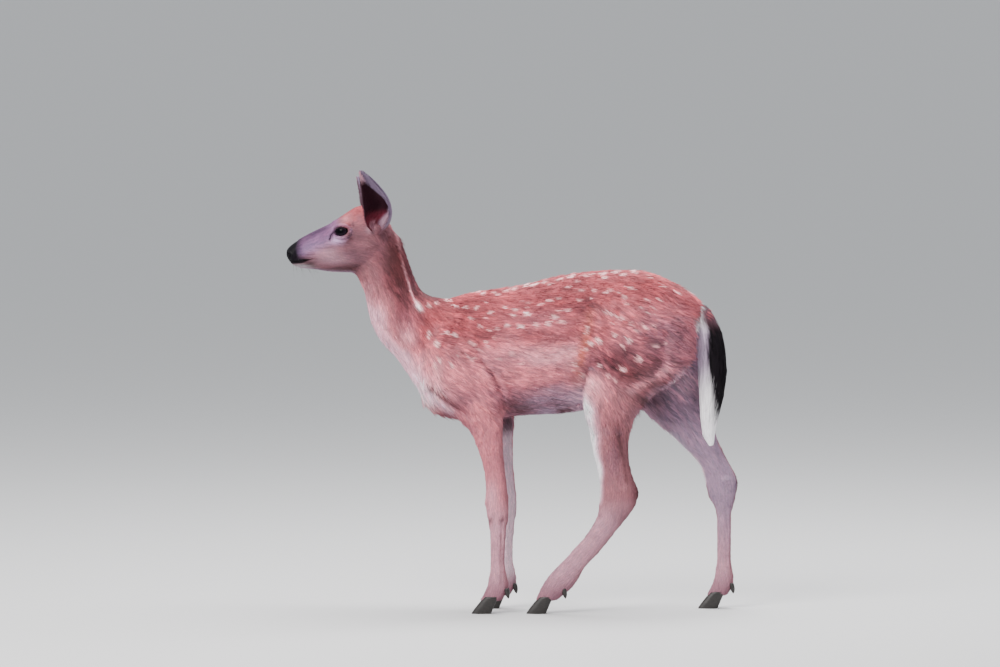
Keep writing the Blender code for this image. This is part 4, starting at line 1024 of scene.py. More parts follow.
# The parts of the hide that the coat's pieces grow on, told by each triangle's middle
middles = hide[hide_faces].mean(axis=1)
mx, my, mz = middles.T
ahead_of_throat = (mx + 0.331) * 0.140 - (mz - 0.646) * 0.108 < 0
ahead_of_shoulder = (mx + 0.217) * 0.254 - (mz - 0.422) * 0.076 < 0
in_tail = (mx > 0.378) & (np.abs(my) < 0.026) & (mz > 0.42) & (mz < 0.615)
legs = (mz < np.where(mx > 0.08, 0.392, 0.375)) & ~ahead_of_throat & ~ahead_of_shoulder
trunk = ~(ahead_of_throat | ahead_of_shoulder | in_tail | legs)
head = ahead_of_throat & (mz > 0.64)

# The axes that the coat's sheets are rolled off
SPINE = ((-0.22, 0, 0.53), (0.40, 0, 0.53))
SKULL = ((-0.46, 0, 0.71), (-0.22, 0, 0.76))
THROAT = ((-0.17, 0, 0.47), (-0.26, 0, 0.78))
FORELEG = {LEFT: ((-0.030, -0.053, 0.02), (-0.030, -0.053, 0.40)),
           RIGHT: ((-0.010, 0.053, 0.02), (-0.010, 0.053, 0.40))}
HIND_LEG = {LEFT: ((0.075, -0.053, 0.02), (0.21, -0.053, 0.40)),
            RIGHT: ((0.42, 0.053, 0.02), (0.40, 0.053, 0.42))}
COATS = [  # name, where it grows, times it overlaps, axis of its unwrap
    ("coat_head_left", head & (my < 0), 3.6, SKULL),
    ("coat_head_right", head & (my >= 0), 3.6, SKULL),
    ("coat_neck", ahead_of_shoulder & ~head, 5.5, THROAT),
    ("coat_side_left", trunk & (mx < 0.110) & (my < 0), 5.5, SPINE),
    ("coat_side_right", trunk & (mx < 0.110) & (my >= 0), 5.5, SPINE),
    ("coat_haunch_left", trunk & (mx >= 0.110) & (my < 0), 5.5, SPINE),
    ("coat_haunch_right", trunk & (mx >= 0.110) & (my >= 0), 5.5, SPINE),
    ("coat_foreleg_left", legs & (mx <= 0.08) & (my < 0), 3.4, FORELEG[LEFT]),
    ("coat_foreleg_right", legs & (mx <= 0.08) & (my >= 0), 3.4, FORELEG[RIGHT]),
    ("coat_hind_leg_left", legs & (mx > 0.08) & (my < 0), 3.4, HIND_LEG[LEFT]),
    ("coat_hind_leg_right", legs & (mx > 0.08) & (my >= 0), 3.4, HIND_LEG[RIGHT]),
]
for seed, (name, grows, cover, axis) in enumerate(COATS):
    rng = np.random.default_rng(100 + seed)
    roots, normals = sown(np.flatnonzero(grows), cover, rng)
    count = len(roots)
    length = coat_length(roots) * rng.uniform(0.75, 1.25, count)
    way = fanned(lie_of(roots, normals), normals, 0.10, rng)
    colours = coat_colours(roots + way * (0.68 * length)[:, None], normals)
    # Light and dark lines with the hair, partly its uneven tone and partly painted light and shade of its
    # clumps; calmer on the legs and neck and bolder on the haunch, where they are painted highlights of
    # locks that catch the light
    broad = streaks(roots, way, 0.0068, 0.012, 41) * ease(length, 0.008, 0.016)
    narrow = streaks(roots, way, 0.0036, 0.006, 42)
    wisps = streaks(roots, way, 0.0190, 0.016, 43) * ease(roots[:, 2], 0.38, 0.44)
    calm = 1 - 0.45 * (1 - ease(roots[:, 2], 0.36, 0.44)) - 0.35 * ease(-roots[:, 0], 0.19, 0.23)
    haunch_glints = blob(roots, 0.235, 0.530, 0.085, 0.075)
    lines = (0.09 + 0.08 * haunch_glints) * wisps + (0.12 + 0.05 * haunch_glints) * broad + 0.10 * narrow
    lines += 0.10 * rng.normal(size=count)
    colours = colours * np.exp((calm * lines)[:, None] * [1.45, 1.0, 1.0])
    colours = colours * (1 + 0.03 * rng.normal(size=(count, 3)))
    places = unwrapped(roots, *axis)
    rise = coat_depth(roots) * rng.uniform(0.72, 1.08, count) * np.clip(1 + 0.16 * broad, 0.6, 1.4)
    locks(name, roots, normals, way, length, lock_width(length), rise, colours, places, rng)

# Guard hairs: longer single locks that stand a little proud and break the outline
rng = np.random.default_rng(190)
furred = np.flatnonzero((trunk | ahead_of_shoulder) & (mz > 0.39) & (mx > -0.30))
roots, normals = sown(furred, 0.42, rng)
count = len(roots)
length = coat_length(roots) * rng.uniform(1.25, 1.75, count)
way = fanned(lie_of(roots, normals), normals, 0.16, rng)
colours = coat_colours(roots + way * (0.75 * length)[:, None], normals)
colours = colours * np.exp(0.28 * rng.normal(size=count))[:, None]
rise = coat_depth(roots) * rng.uniform(1.0, 1.25, count)
width = 0.0007 + 0.02 * length
places = unwrapped(roots, *SPINE)
locks("coat_guard", roots, normals, way, length, width, rise, colours, places, rng, tip_rise=1.25)

# ---------------------------------------------------------------------------------------
# Tail. The dock carries long hair on all sides: rufous at the root, black-brown down the
# back of it, and white in front and at the tip. It hangs close behind the rump.
# ---------------------------------------------------------------------------------------
TAIL_FORM = np.array([  # x and z of its front edge, x and z of its rear edge, half width
    (0.345, 0.600, 0.366, 0.630, 0.012), (0.362, 0.586, 0.396, 0.606, 0.017),
    (0.366, 0.552, 0.418, 0.565, 0.022), (0.369, 0.511, 0.428, 0.520, 0.025),
    (0.371, 0.473, 0.430, 0.480, 0.025), (0.373, 0.429, 0.424, 0.435, 0.022),
    (0.376, 0.385, 0.413, 0.392, 0.016), (0.381, 0.351, 0.405, 0.358, 0.009),
    (0.394, 0.331, 0.402, 0.333, 0.003),
])
TAIL_SEAM = np.array([  # z and x of the line that parts the white front from the black rear
    (0.372, 0.410), (0.390, 0.405), (0.424, 0.402), (0.464, 0.396), (0.484, 0.391),
    (0.524, 0.389), (0.564, 0.391), (0.610, 0.380),
])
DOCK_STEPS = 60
TAIL_LOCKS = 5200
RUFOUS_TAIL = (0.105, 0.048, 0.064)
BLACK_TAIL = (0.004, 0.002, 0.004)


def tail_surface(level, turn, fill):
    """A point of the hair's outer form: level 0 to 1 down it, turn round it (0 is the rear)."""
    place = np.clip(level, 0, 1) * (len(TAIL_FORM) - 1)
    row = np.stack([np.interp(place, np.arange(len(TAIL_FORM)), column) for column in TAIL_FORM.T], -1)
    share = (0.5 + 0.5 * fill * np.cos(turn))[:, None]
    side_view = row[:, [0, 1]] * (1 - share) + row[:, [2, 3]] * share
    return np.stack([side_view[:, 0], row[:, 4] * fill * np.sin(turn), side_view[:, 1]], -1)


# A long lock has a root, two waists of three points each, and a tip. LONG_ROWS tells which
# of the four points of its spine each one goes with
LONG_ROWS = [0, 1, 1, 1, 2, 2, 2, 3]
LONG_UV = np.array([(0.0, 0.5), (0.3, 1.0), (0.3, 0.5), (0.3, 0.0),
                    (0.68, 0.9), (0.68, 0.5), (0.68, 0.1), (1.0, 0.5)])
# How light each point is: painted shade at the root, painted light on the ridges and the tip
LONG_SHADE = np.array([0.6, 0.88, 1.0, 0.88, 0.9, 1.0, 0.9, 1.06])
LONG_FACES = np.array([(0, 2, 1), (0, 3, 2), (1, 2, 5), (1, 5, 4),
                       (2, 3, 6), (2, 6, 5), (4, 5, 7), (5, 6, 7)])


def long_locks(name, spine, outward, width, colours, places, rng):
    """Blades laid along four points each: spine and colours have the shape (locks, 4, 3)."""
    across = np.cross(outward, unit(spine[:, 3] - spine[:, 0]))
    across /= np.maximum(np.linalg.norm(across, axis=1, keepdims=True), 1e-6)
    half = across * (width / 2)[:, None]
    ridge = outward * (0.25 * width)[:, None]
    none = np.zeros_like(half)
    beside = np.stack([none, half, ridge, -half, 0.8 * half, ridge, -0.8 * half, none], 1)
    shade = colours[:, LONG_ROWS] * LONG_SHADE[None, :, None]
    coat_piece(name, spine[:, LONG_ROWS] + beside, LONG_FACES, LONG_UV, shade, places, rng)


rng = np.random.default_rng(210)
start_level = rng.uniform(0.02, 0.66, TAIL_LOCKS) ** 0.9
turn = rng.uniform(-math.pi, math.pi, TAIL_LOCKS)
reach = rng.uniform(0.16, 0.40, TAIL_LOCKS) * (0.45 + 0.75 * ease(start_level, 0.05, 0.35))
fill = rng.uniform(0.70, 1.0, TAIL_LOCKS)
# Each lock is rooted in the dock, and its two waists and its tip lie near the form's surface
dock_level, dock_path = np.linspace(0, 1, DOCK_STEPS), along(DOCK, DOCK_STEPS)
dock_x, dock_z, dock_half = (np.interp(start_level / 0.68, dock_level, column) for column in dock_path.T)
first = np.stack([dock_x + 0.6 * dock_half * np.cos(turn), 0.6 * dock_half * np.sin(turn), dock_z], -1)
second = tail_surface(start_level + 0.34 * reach, turn, 0.90 * fill)
third = tail_surface(start_level + 0.70 * reach, turn, 0.98 * fill)
end_level = np.minimum(start_level + reach, 1.0)
fourth = tail_surface(end_level, turn + rng.normal(0, 0.12, TAIL_LOCKS), fill)
spine = np.stack([first, second, third, fourth], 1)
outward = unit(np.stack([np.cos(turn), np.sin(turn) * 1.2, np.full(TAIL_LOCKS, 0.15)], -1))
depth_x = spine[:, :, 0].ravel()
depth_z = spine[:, :, 2].ravel()
dark = ease(depth_x - np.interp(depth_z, *TAIL_SEAM.T), -0.006, 0.004) * ease(depth_z, 0.366, 0.392)
colours = np.tile(np.array(WHITE), (len(depth_x), 1))
# Bluish painted shade on the white hair of the tail's upper half
colours = mixed(colours, BLUISH, 0.70 * ease(depth_z, 0.430, 0.500) * (1 - ease(depth_z, 0.555, 0.590)))
colours = mixed(colours, BLACK_TAIL, dark)
colours = mixed(colours, RUFOUS_TAIL, 0.95 * ease(depth_z, 0.560, 0.590) * ease(depth_x, 0.372, 0.384))
colours = colours.reshape(-1, 4, 3) * (1 + 0.12 * rng.normal(size=TAIL_LOCKS))[:, None, None]
places = np.stack([0.02 + 0.96 * (turn / (2 * math.pi) + 0.5), 0.02 + 0.96 * (1 - start_level)], -1)
width = rng.uniform(0.0022, 0.0038, TAIL_LOCKS)
long_locks("coat_tail", spine, outward, width, colours, places, rng)

# ---------------------------------------------------------------------------------------
# Ears. Each is a cupped leaf of gristle and thin skin, rooted in the side of the crown and
# opening forwards and outwards, with short grey hair outside and sparse long hair inside.
# ---------------------------------------------------------------------------------------
SIDES = ((LEFT, "left"), (RIGHT, "right"))
EAR_ROOT = np.array([-0.264, 0.030, 0.768])
EAR_TIP = {LEFT: np.array([-0.303, 0.094, 0.888]), RIGHT: np.array([-0.311, 0.094, 0.866])}
EAR_FACING = np.array([-0.55, 0.80, 0.0])
EAR_HALF = 0.0322
EAR_BOW = 0.018
EAR_LEAF = np.array([  # share of its length, share of its width, half angle of its cup in degrees
    (-0.16, 0.20, 160), (0.00, 0.34, 150), (0.14, 0.66, 132), (0.32, 0.95, 92), (0.50, 1.00, 72),
    (0.68, 0.78, 60), (0.84, 0.48, 48), (0.95, 0.22, 38), (1.00, 0.07, 30),
])
EAR_RIM = np.array([  # share of its length, and how far across the grey rim reaches in there
    (0.00, -0.50), (0.12, -0.32), (0.24, 0.04), (0.34, 0.42), (0.47, 0.16), (0.66, -0.32),
    (0.86, -0.95),
])
EAR_ROWS, EAR_ARC = 64, 33
EAR_BACK_HAIRS, EAR_INSIDE_HAIRS = 7000, 2600
EAR_BACK = (0.210, 0.150, 0.230)
# Inside the ear: wine red darkened as painted shade over the hollow
EAR_INSIDE_SHADE = (0.022, 0.002, 0.008)
EAR_PINK = (0.190, 0.024, 0.045)


def ear_point(side, share, across, lift):
    """A point of the leaf: share up it, across it from -1 to 1, and lift outwards from its sheet."""
    length = EAR_TIP[side] - EAR_ROOT
    up = unit(length)
    facing = unit(EAR_FACING - up * (EAR_FACING @ up))
    beside = np.cross(up, facing)
    rows = along(EAR_LEAF, 200)
    half = EAR_HALF * np.interp(share, rows[:, 0], rows[:, 1])
    cup = np.radians(np.interp(share, rows[:, 0], rows[:, 2]))
    radius = half / np.sin(np.minimum(cup, math.pi / 2))
    bow = np.sin(math.pi * np.clip(share, 0, 1) ** 0.8) * EAR_BOW
    spine = EAR_ROOT + length * share[:, None] + np.array([1.0, 0, 0]) * bow[:, None]
    turn = cup * across
    out_x = ((radius + lift) * np.sin(turn))[:, None] * beside
    out_y = (radius - (radius + lift) * np.cos(turn) - 0.3 * half)[:, None] * facing
    sunk = 1 - ease(share, -0.16, 0.12)
    spine = spine - sunk[:, None] * np.array([0.006, 0.014, 0.0])
    return (spine + out_x + out_y) * [1, side, 1]


def ear_colours(share, across, inside):
    """Grey-mauve outside with a darker edge, and inside wine red darkened by painted shade, turning pink
    at the base.
    """
    colours = np.tile(np.array(EAR_BACK), (len(share), 1))
    colours = mixed(colours, FACE, 1 - ease(share, 0.08, 0.26))
    colours = mixed(colours, UMBER, 0.8 * ease(across, 0.70, 0.92))
    deep = np.tile(np.array(EAR_INSIDE_SHADE), (len(share), 1))
    deep = mixed(deep, EAR_PINK, 1 - ease(share, 0.16, 0.34))
    past_rim = -across - np.interp(share, *EAR_RIM.T)
    deep = mixed(deep, EAR_BACK, 0.95 * ease(past_rim, -0.05, 0.15))
    deep = mixed(deep, PALE, 0.40 * ease(past_rim, -0.02, 0.20) * (1 - ease(share, 0.22, 0.34)))
    return np.where(inside[:, None], deep, colours)


def ear_hair(side, share, across, lift, outward, ahead, spread):
    """Roots on the leaf, the normals there, and a way towards a point ahead, turned at random."""
    roots = ear_point(side, share, across, lift)
    normals = unit(outward * (ear_point(side, share, across, lift + 0.001) - roots))
    way = ear_point(side, *ahead, lift) - roots
    way -= normals * (way * normals).sum(axis=1)[:, None]
    return roots, normals, fanned(way, normals, spread, rng)


ear_look, _, _ = coat_look("ear_skin", 0.60, strands=False)
rng = np.random.default_rng(220)
for side, label in SIDES:
    # One ring of each row runs up the outside of the leaf and back down the inside
    arc = np.linspace(-1, 1, EAR_ARC)
    ring_across = np.concatenate([arc, arc[-2:0:-1]])
    ring_inside = np.concatenate([np.zeros(EAR_ARC, bool), np.ones(EAR_ARC - 2, bool)])
    shares = -0.16 + 1.16 * (1 - (1 - np.linspace(0, 1, EAR_ROWS)) ** 1.3)
    share = np.repeat(shares, len(ring_across))
    across = np.tile(ring_across, EAR_ROWS)
    inside = np.tile(ring_inside, EAR_ROWS)
    wall = 0.0011 * (1 - 0.45 * share) * np.sqrt(np.clip(1 - across**4, 0, 1)) * np.where(inside, -1, 1)
    ribs = 0.0006 * np.cos(across * 9.0) * (1 - ease(np.abs(across), 0.6, 0.9))
    ribs = np.where(inside, ribs * (1 - ease(share, 0.5, 0.9)), 0.0)
    points = ear_point(side, share, across, wall - ribs)
    # The leaf's rings turn the other way on the left ear, so its faces are turned round too
    ring = len(ring_across)
    quads = grid_faces(EAR_ROWS, ring)[:, ::side]
    triangles = [quads[:, [0, 1, 2]], quads[:, [0, 2, 3]]]
    for end in (np.arange(ring)[::-side], ((EAR_ROWS - 1) * ring + np.arange(ring))[::side]):
        triangles.append(np.stack([np.full(ring - 2, end[0]), end[1:-1], end[2:]], -1))
    ear = piece("ear_skin_" + label, points, np.vstack(triangles), ear_look)
    painted(ear.data, "paint", 0.8 * ear_colours(share, across, inside))
    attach(ear, "root")
    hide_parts("ear_" + label)

    # Short hair outside, all over, lying towards the tip
    share = rng.uniform(0.02, 0.97, EAR_BACK_HAIRS)
    share = share[rng.random(EAR_BACK_HAIRS) < np.interp(share, EAR_LEAF[:, 0], EAR_LEAF[:, 1])]
    count = len(share)
    across = rng.uniform(-1, 1, count)
    lift = 0.0009 * (1 - 0.45 * share)
    ahead = (share + 0.02, across * 1.02)
    roots, normals, way = ear_hair(side, share, across, lift, 1, ahead, 0.12)
    colours = ear_colours(share, across, np.zeros(count, bool))
    colours = colours * (1 + 0.10 * rng.normal(size=count))[:, None]
    length = rng.uniform(0.0045, 0.0075, count) * (1 - 0.35 * ease(share, 0.7, 1.0))
    width = np.full(count, 0.0009)
    places = np.stack([0.02 + 0.46 * (across + 1) / 2, 0.02 + 0.96 * share], -1)
    rise = rng.uniform(0.0008, 0.0014, count)
    locks(f"coat_ear_{label}_back", roots, normals, way, length, width, rise, colours, places, rng)

    # Long hair inside, rooted by the two edges and reaching over the hollow, whitest at the tip
    count = EAR_INSIDE_HAIRS
    share = rng.uniform(0.04, 0.96, count)
    edge = np.where(rng.random(count) < 0.5, -1, 1)
    inward = rng.beta(1.1, 2.6, count) * 0.9
    across = edge * (0.97 - inward)
    lift = -0.0008 * (1 - 0.45 * share)
    ahead = (share + 0.05, across - edge * 0.10)
    roots, normals, way = ear_hair(side, share, across, lift, -1, ahead, 0.20)
    length = rng.uniform(0.007, 0.015, count) * (1 - 0.4 * ease(share, 0.7, 1.0)) * (1 - 0.5 * inward)
    width = np.full(count, 0.0008)
    pale = 0.95 * ease(share, 0.72, 0.86) * (edge > 0) + 0.5 * (1 - ease(share, 0.10, 0.20))
    pale = np.clip(pale * (1 - ease(inward, 0.30, 0.65)) * rng.uniform(0.6, 1.2, count), 0, 1)
    colours = mixed(ear_colours(share, across, np.ones(count, bool)), PALE, pale)
    places = np.stack([0.52 + 0.46 * (across + 1) / 2, 0.02 + 0.96 * share], -1)
    rise = rng.uniform(0.0015, 0.0045, count)
    locks(f"coat_ear_{label}_inside", roots, normals, way, length, width, rise, colours, places, rng)

# ---------------------------------------------------------------------------------------
# Eyes. A dark wet ball deep in the socket, with a level oblong pupil in a dark iris, held by
# two thick dark lids whose edges rest on the ball. Lashes stand on the upper lid.
# ---------------------------------------------------------------------------------------
eye_look, tree, shader = new_look("eye", Roughness=0.05, Specular_IOR_Level=0.0,
                                  Coat_Weight=0.12, Coat_Roughness=0.02)
eye_paint = tree.nodes.new("ShaderNodeAttribute")
eye_paint.attribute_name = "paint"
tree.links.new(eye_paint.outputs["Color"], shader.inputs["Base Color"])
lid_look, _, _ = new_look("lid", Base_Color=(0.009, 0.005, 0.011, 1), Roughness=0.70,
                          Specular_IOR_Level=0.05)
LASH, _, _ = new_look("lash", Base_Color=(0.03, 0.018, 0.018, 1), Roughness=0.5)
EYE_DARK, EYE_IRIS, EYE_PUPIL = (0.003, 0.002, 0.002), (0.006, 0.003, 0.006), (0.001, 0.001, 0.002)
BALL_ROWS, BALL_COLUMNS = 40, 64
LID_STEPS, LID_SIDES = 96, 14
LASHES = 34


def outwards(points, triangles):
    """The triangles of a closed form, all turned round when its signed volume is negative."""
    a, b, c = points[triangles].transpose(1, 0, 2)
    return triangles if (a * np.cross(b, c)).sum() > 0 else triangles[:, ::-1]


def strands(name, roots, ways, bends, lengths, radius):
    """Single stiff hairs: three-sided tapering tubes on a curve root + way t + bend t squared."""
    steps, sides = 7, 3
    t = np.linspace(0, 1, steps)
    count = len(roots)
    spine = roots[:, None] + (ways * lengths[:, None])[:, None] * t[None, :, None]
    spine = spine + (bends * lengths[:, None])[:, None] * (t**2)[None, :, None]
    first = unit(np.cross(ways, (0.3, 0.5, 0.8)))
    second = np.cross(ways, first)
    turn = 2 * math.pi * np.arange(sides) / sides
    thick = radius * (1 - 0.92 * t)
    turn = turn[None, :, None]
    ring = np.cos(turn) * first[:, None] + np.sin(turn) * second[:, None]
    points = spine[:, :, None] + thick[None, :, None, None] * ring[:, None]
    quads = grid_faces(steps, sides)
    last = steps * sides - 1
    ends = [(2, 1, 0), (last - 2, last - 1, last)]
    triangles = np.vstack([quads[:, [0, 1, 2]], quads[:, [0, 2, 3]], ends])
    faces = (triangles[None] + steps * sides * np.arange(count)[:, None, None]).reshape(-1, 3)
    made = piece(name, points.reshape(-1, 3), faces, LASH)
    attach(made, "root")


def opening(side, turn, grow=1.0):
    """A point of the opening's edge on the ball, with its front corner drawn out and down."""
    middle, axis, forward, up = eye_frame(side)
    drawn = np.clip(np.cos(turn), 0, 1) ** 6
    a = EYE_LENGTH * np.cos(turn) * grow * (1 + 0.10 * drawn)
    b = EYE_HEIGHT * np.sin(turn) * grow - 0.0016 * drawn
    offset = a[..., None] * forward + b[..., None] * up
    depth = np.sqrt(np.clip((EYE_RADIUS + 0.0004) ** 2 - (offset**2).sum(-1), 1e-9, None))
    return middle + offset + depth[..., None] * axis


for side, label in SIDES:
    middle, axis, forward, up = eye_frame(side)
    polar = np.linspace(0, math.pi, BALL_ROWS)[1:-1]
    turn = np.linspace(0, 2 * math.pi, BALL_COLUMNS, endpoint=False)
    # A slight bulge over the iris, as the clear front of a real eye has
    bulge = EYE_RADIUS * (1 + 0.030 * np.exp(-((polar / 0.55) ** 2))) - 0.0002
    ring = np.cos(turn)[None, :, None] * forward + np.sin(turn)[None, :, None] * up
    arms = np.cos(polar)[:, None, None] * axis + np.sin(polar)[:, None, None] * ring
    grid = middle + bulge[:, None, None] * arms
    poles = [middle + axis * (EYE_RADIUS * 1.030 - 0.0002), middle - axis * (EYE_RADIUS - 0.0002)]
    points = np.vstack([grid.reshape(-1, 3), poles])
    triangles = outwards(points, poled(BALL_ROWS - 2, BALL_COLUMNS))
    ball = piece("eyeball_" + label, points, triangles, eye_look)
    arm = points - middle
    level, rise = arm @ forward, arm @ up
    front = arm @ axis > 0
    pupil = front * (1 - ease(np.hypot(level / 0.0068, rise / 0.0042), 0.90, 1.05))
    iris = front * (1 - ease(np.hypot(level, rise), 0.0104, 0.0116))
    colours = mixed(np.tile(np.array(EYE_DARK), (len(points), 1)), EYE_IRIS, iris)
    painted(ball.data, "paint", mixed(colours, EYE_PUPIL, pupil))
    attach(ball, "root")
    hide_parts("eye_" + label)

    # The lids' edges: a bead that runs round the opening, thickest above
    turn = np.linspace(0, 2 * math.pi, LID_STEPS, endpoint=False)
    edge = opening(side, turn)
    ahead = unit(np.roll(edge, -1, axis=0) - np.roll(edge, 1, axis=0))
    from_ball = unit(edge - middle)
    beside = np.cross(ahead, from_ball)
    thick = 0.0011 + 0.0004 * np.clip(np.sin(turn), 0, 1)
    around = np.linspace(0, 2 * math.pi, LID_SIDES, endpoint=False)[None, :, None]
    section = np.cos(around) * beside[:, None] + 0.8 * np.sin(around) * from_ball[:, None]
    bead = edge[:, None] + thick[:, None, None] * section
    quads = grid_faces(LID_STEPS + 1, LID_SIDES) % (LID_STEPS * LID_SIDES)
    lid = piece("lid_" + label, bead.reshape(-1, 3), quads, lid_look)
    bm = bmesh.new()
    bm.from_mesh(lid.data)
    bmesh.ops.recalc_face_normals(bm, faces=bm.faces)
    bm.to_mesh(lid.data)
    bm.free()
    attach(lid, "root")

    # The upper lid's lashes
    rng = np.random.default_rng(230)
    turn = np.linspace(0.22 * math.pi, 0.92 * math.pi, LASHES) + rng.normal(0, 0.02, LASHES)
    roots = opening(side, turn, 1.06) + axis * 0.0004
    ways = axis * 0.75 + up * 0.35 + (roots - middle) * 22 + rng.normal(0, 0.08, (LASHES, 3))
    bends = np.tile(np.array([0.0, 0.0, -0.45]), (LASHES, 1)) + 0.1 * forward
    strands("lashes_" + label, roots, unit(ways), bends, rng.uniform(0.0055, 0.0085, LASHES), 0.00022)

# ---------------------------------------------------------------------------------------
# Whiskers. Single stiff dark hairs on the lips and chin, rooted in the hide between the locks
# and bent back and down.
# ---------------------------------------------------------------------------------------
WHISKERS = 30
rng = np.random.default_rng(240)
for side, label in SIDES:
    grows = (hide[:, 1] * side > 0.004) & (hide[:, 0] < -0.395) & (hide[:, 0] > -0.440)
    grows &= (hide[:, 2] < 0.720) & ~bare(hide)
    picked = rng.choice(np.flatnonzero(grows), WHISKERS, replace=False)
    roots = hide[picked] - 0.0005 * out[picked]
    ways = out[picked] * 0.9 + np.array([0.35, 0.0, -0.25]) + rng.normal(0, 0.12, (WHISKERS, 3))
    bends = np.tile(np.array([0.30, 0.0, -0.28]), (WHISKERS, 1))
    strands("whiskers_" + label, roots, unit(ways), bends, rng.uniform(0.010, 0.024, WHISKERS), 0.00016)

# ---------------------------------------------------------------------------------------
# Hooves. Two claws on each foot, of dark horn, pointed at the toe and flat under the sole,
# and two small dewclaws behind the fetlock. They grow from under the hair of the pastern.
# ---------------------------------------------------------------------------------------
horn_look, tree, shader = new_look("horn", Roughness=0.38)
place = tree.nodes.new("ShaderNodeTexCoord")
stretch = tree.nodes.new("ShaderNodeMapping")
stretch.inputs["Scale"].default_value = (160.0, 160.0, 420.0)
grain = tree.nodes.new("ShaderNodeTexNoise")
grain.inputs["Scale"].default_value = 1.0
tint = tree.nodes.new("ShaderNodeValToRGB")
tint.color_ramp.elements[0].position = 0.35
tint.color_ramp.elements[0].color = (0.011, 0.009, 0.008, 1)
tint.color_ramp.elements[1].position = 0.68
tint.color_ramp.elements[1].color = (0.022, 0.018, 0.016, 1)
tree.links.new(place.outputs["Object"], stretch.inputs["Vector"])
tree.links.new(stretch.outputs["Vector"], grain.inputs["Vector"])
tree.links.new(grain.outputs["Fac"], tint.inputs["Fac"])
tree.links.new(tint.outputs["Color"], shader.inputs["Base Color"])

CLAW_LENGTH = 0.039
CLAW_TOP = 0.034
TOE_SLOPE, HEEL_SLOPE = 0.80, 0.42
CLAW_GRID, SPUR_GRID = (15, 36), (10, 20)  # rings and points of each ring


def capped(points, rows, columns):
    """Triangles over a stack of closed rings, with a fan over each end, turned outwards."""
    quads = grid_faces(rows, columns)
    k = np.arange(1, columns - 1)
    top = (rows - 1) * columns
    fans = [np.stack([0 * k, k + 1, k], -1), np.stack([top + 0 * k, top + k, top + k + 1], -1)]
    return outwards(points, np.vstack([quads[:, [0, 1, 2]], quads[:, [0, 2, 3]], *fans]))


def ring_points(x, y, z):
    """The points of all rings in one list, from arrays that spread over rows and columns."""
    return np.stack(np.broadcast_arrays(x, y, z), -1).reshape(-1, 3)


def claw_points(low, high, outward):
    """Ovals from the sole up. The toe is drawn to a point and the inner wall is flatter."""
    height = np.linspace(0, 1, CLAW_GRID[0])[:, None] ** 1.15 * CLAW_TOP
    turn = np.linspace(0, 2 * math.pi, CLAW_GRID[1], endpoint=False)[None]
    front = low[0] + TOE_SLOPE * height - 0.0010 * np.sin(math.pi * np.clip(height / CLAW_TOP, 0, 1))
    rear = low[0] + CLAW_LENGTH + HEEL_SLOPE * height
    middle = (low[1] + high[1]) / 2
    half = (high[1] - low[1]) / 2 * (1.0 - 3.0 * np.abs(height - 0.008))
    half = half * (1 - 0.05 * np.exp(-height / 0.001))
    toe = np.clip(-np.cos(turn), 0, 1)
    across = half * np.sin(turn) * (1 - 0.42 * toe**2.2)
    across = np.where(np.sin(turn) > 0, across, 0.86 * across)
    x = (front + rear) / 2 + (rear - front) / 2 * np.cos(turn)
    y = middle + outward * across
    rings = 0.00012 * np.sin(height * 2 * math.pi / 0.0032) * np.cos(turn)
    return ring_points(x + rings, y, height)


def dewclaw_points(low, high):
    """A blunt oval cone that points down and a little back, between the two ends of its box."""
    share = np.linspace(0, 1, SPUR_GRID[0])[:, None]
    turn = np.linspace(0, 2 * math.pi, SPUR_GRID[1], endpoint=False)[None]
    x = low[0] + 0.0045 + (high[0] - low[0] - 0.0080) * share
    z = high[2] + 0.0040 - (high[2] - low[2] + 0.0040) * share
    radius = 0.0052 * np.sqrt(np.clip(1 - share**2.6, 0.004, 1)) * (0.75 + 0.25 * np.sin(math.pi * share))
    middle = (low[1] + high[1]) / 2
    return ring_points(x + radius * np.cos(turn), middle + 0.85 * radius * np.sin(turn), z)


for leg in LEGS:
    side = LEFT if leg.endswith("left") else RIGHT
    for place, outward in (("outer", side), ("inner", -side)):
        low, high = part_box(f"claw_{leg}_{place}")
        points = claw_points(low, high, outward)
        hoof = piece(f"hoof_{leg}_{place}", points, capped(points, *CLAW_GRID), horn_look)
        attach(hoof, "root")
        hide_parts(f"claw_{leg}_{place}")
        low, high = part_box(f"dewclaw_{leg}_{place}")
        points = dewclaw_points(low, high)
        spur = piece(f"spur_{leg}_{place}", points, capped(points, *SPUR_GRID), horn_look)
        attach(spur, "root")
        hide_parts(f"dewclaw_{leg}_{place}")

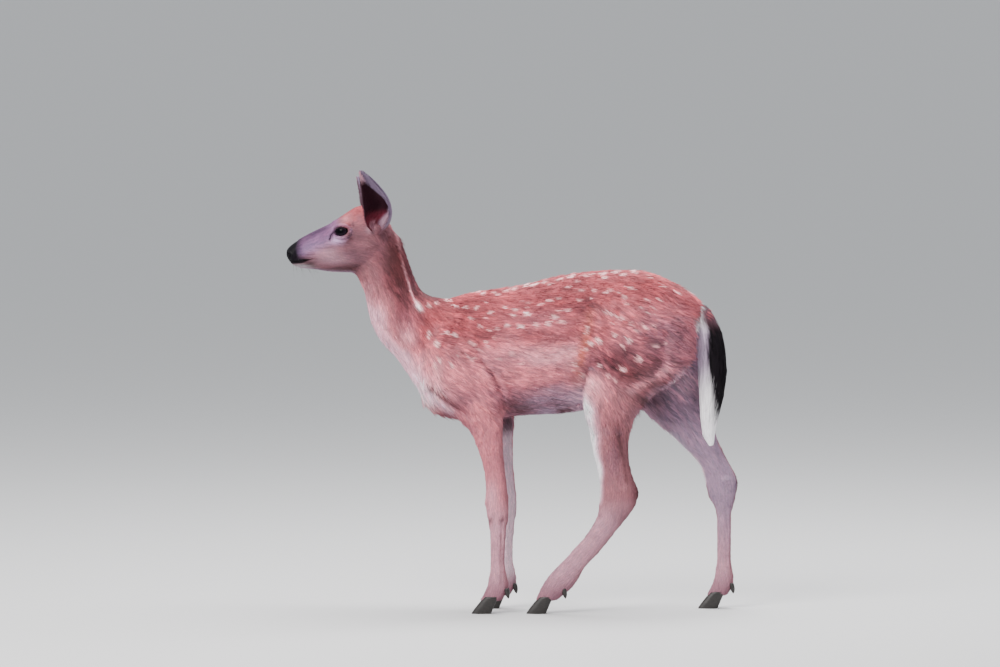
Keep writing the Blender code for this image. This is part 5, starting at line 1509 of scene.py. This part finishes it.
# ---------------------------------------------------------------------------------------
# Floor, light and camera. A plain pale floor, two round soft lamps in a pale room, and a
# long lens to the animal's left.
# ---------------------------------------------------------------------------------------
floor_look, _, _ = new_look("floor", Base_Color=(0.60, 0.60, 0.60, 1), Roughness=0.9)
REACH = 150.0
corners = np.array([(-1, -1, 0), (1, -1, 0), (1, 1, 0), (-1, 1, 0)]) * REACH
floor = piece("floor", corners, np.array([[0, 1, 2, 3]]), floor_look)

world = bpy.data.worlds.new("studio")
bpy.context.scene.world = world
world.use_nodes = True
world.node_tree.nodes["Background"].inputs["Color"].default_value = (0.93, 0.96, 1.0, 1)
world.node_tree.nodes["Background"].inputs["Strength"].default_value = 0.85


def soft_box(name, place, target, size, power, colour):
    """A round soft lamp at a place, turned to face a target."""
    lamp = bpy.data.lights.new(name, "AREA")
    lamp.shape = "DISK"
    lamp.size = size
    lamp.energy = power
    lamp.color = colour
    made = bpy.data.objects.new(name, lamp)
    made.location = place
    made.rotation_euler = (Vector(target) - Vector(place)).to_track_quat("-Z", "Y").to_euler()
    bpy.context.scene.collection.objects.link(made)


soft_box("key", (-1.6, -2.6, 3.0), (0, 0, 0.5), 2.2, 190, (1.0, 0.97, 0.95))
soft_box("top", (0.6, 0.6, 3.4), (0, 0, 0.5), 2.6, 210, (1.0, 0.99, 1.0))

# A long lens at a deer's own height, a few degrees above the horizon
CAMERA_TARGET = Vector((-0.025, 0.0, 0.557))
CAMERA_DISTANCE = 18.0
CAMERA_HEIGHT = math.radians(4.0)
camera_data = bpy.data.cameras.new("camera")
camera_data.sensor_width = 36.0
camera_data.lens = 36.0 * CAMERA_DISTANCE / 2.0
camera_data.clip_end = 500.0
camera = bpy.data.objects.new("camera", camera_data)
back = Vector((0.0, -math.cos(CAMERA_HEIGHT), math.sin(CAMERA_HEIGHT)))
camera.location = CAMERA_TARGET + back * CAMERA_DISTANCE
camera.rotation_euler = (-back).to_track_quat("-Z", "Y").to_euler()
bpy.context.scene.collection.objects.link(camera)
bpy.context.scene.camera = camera
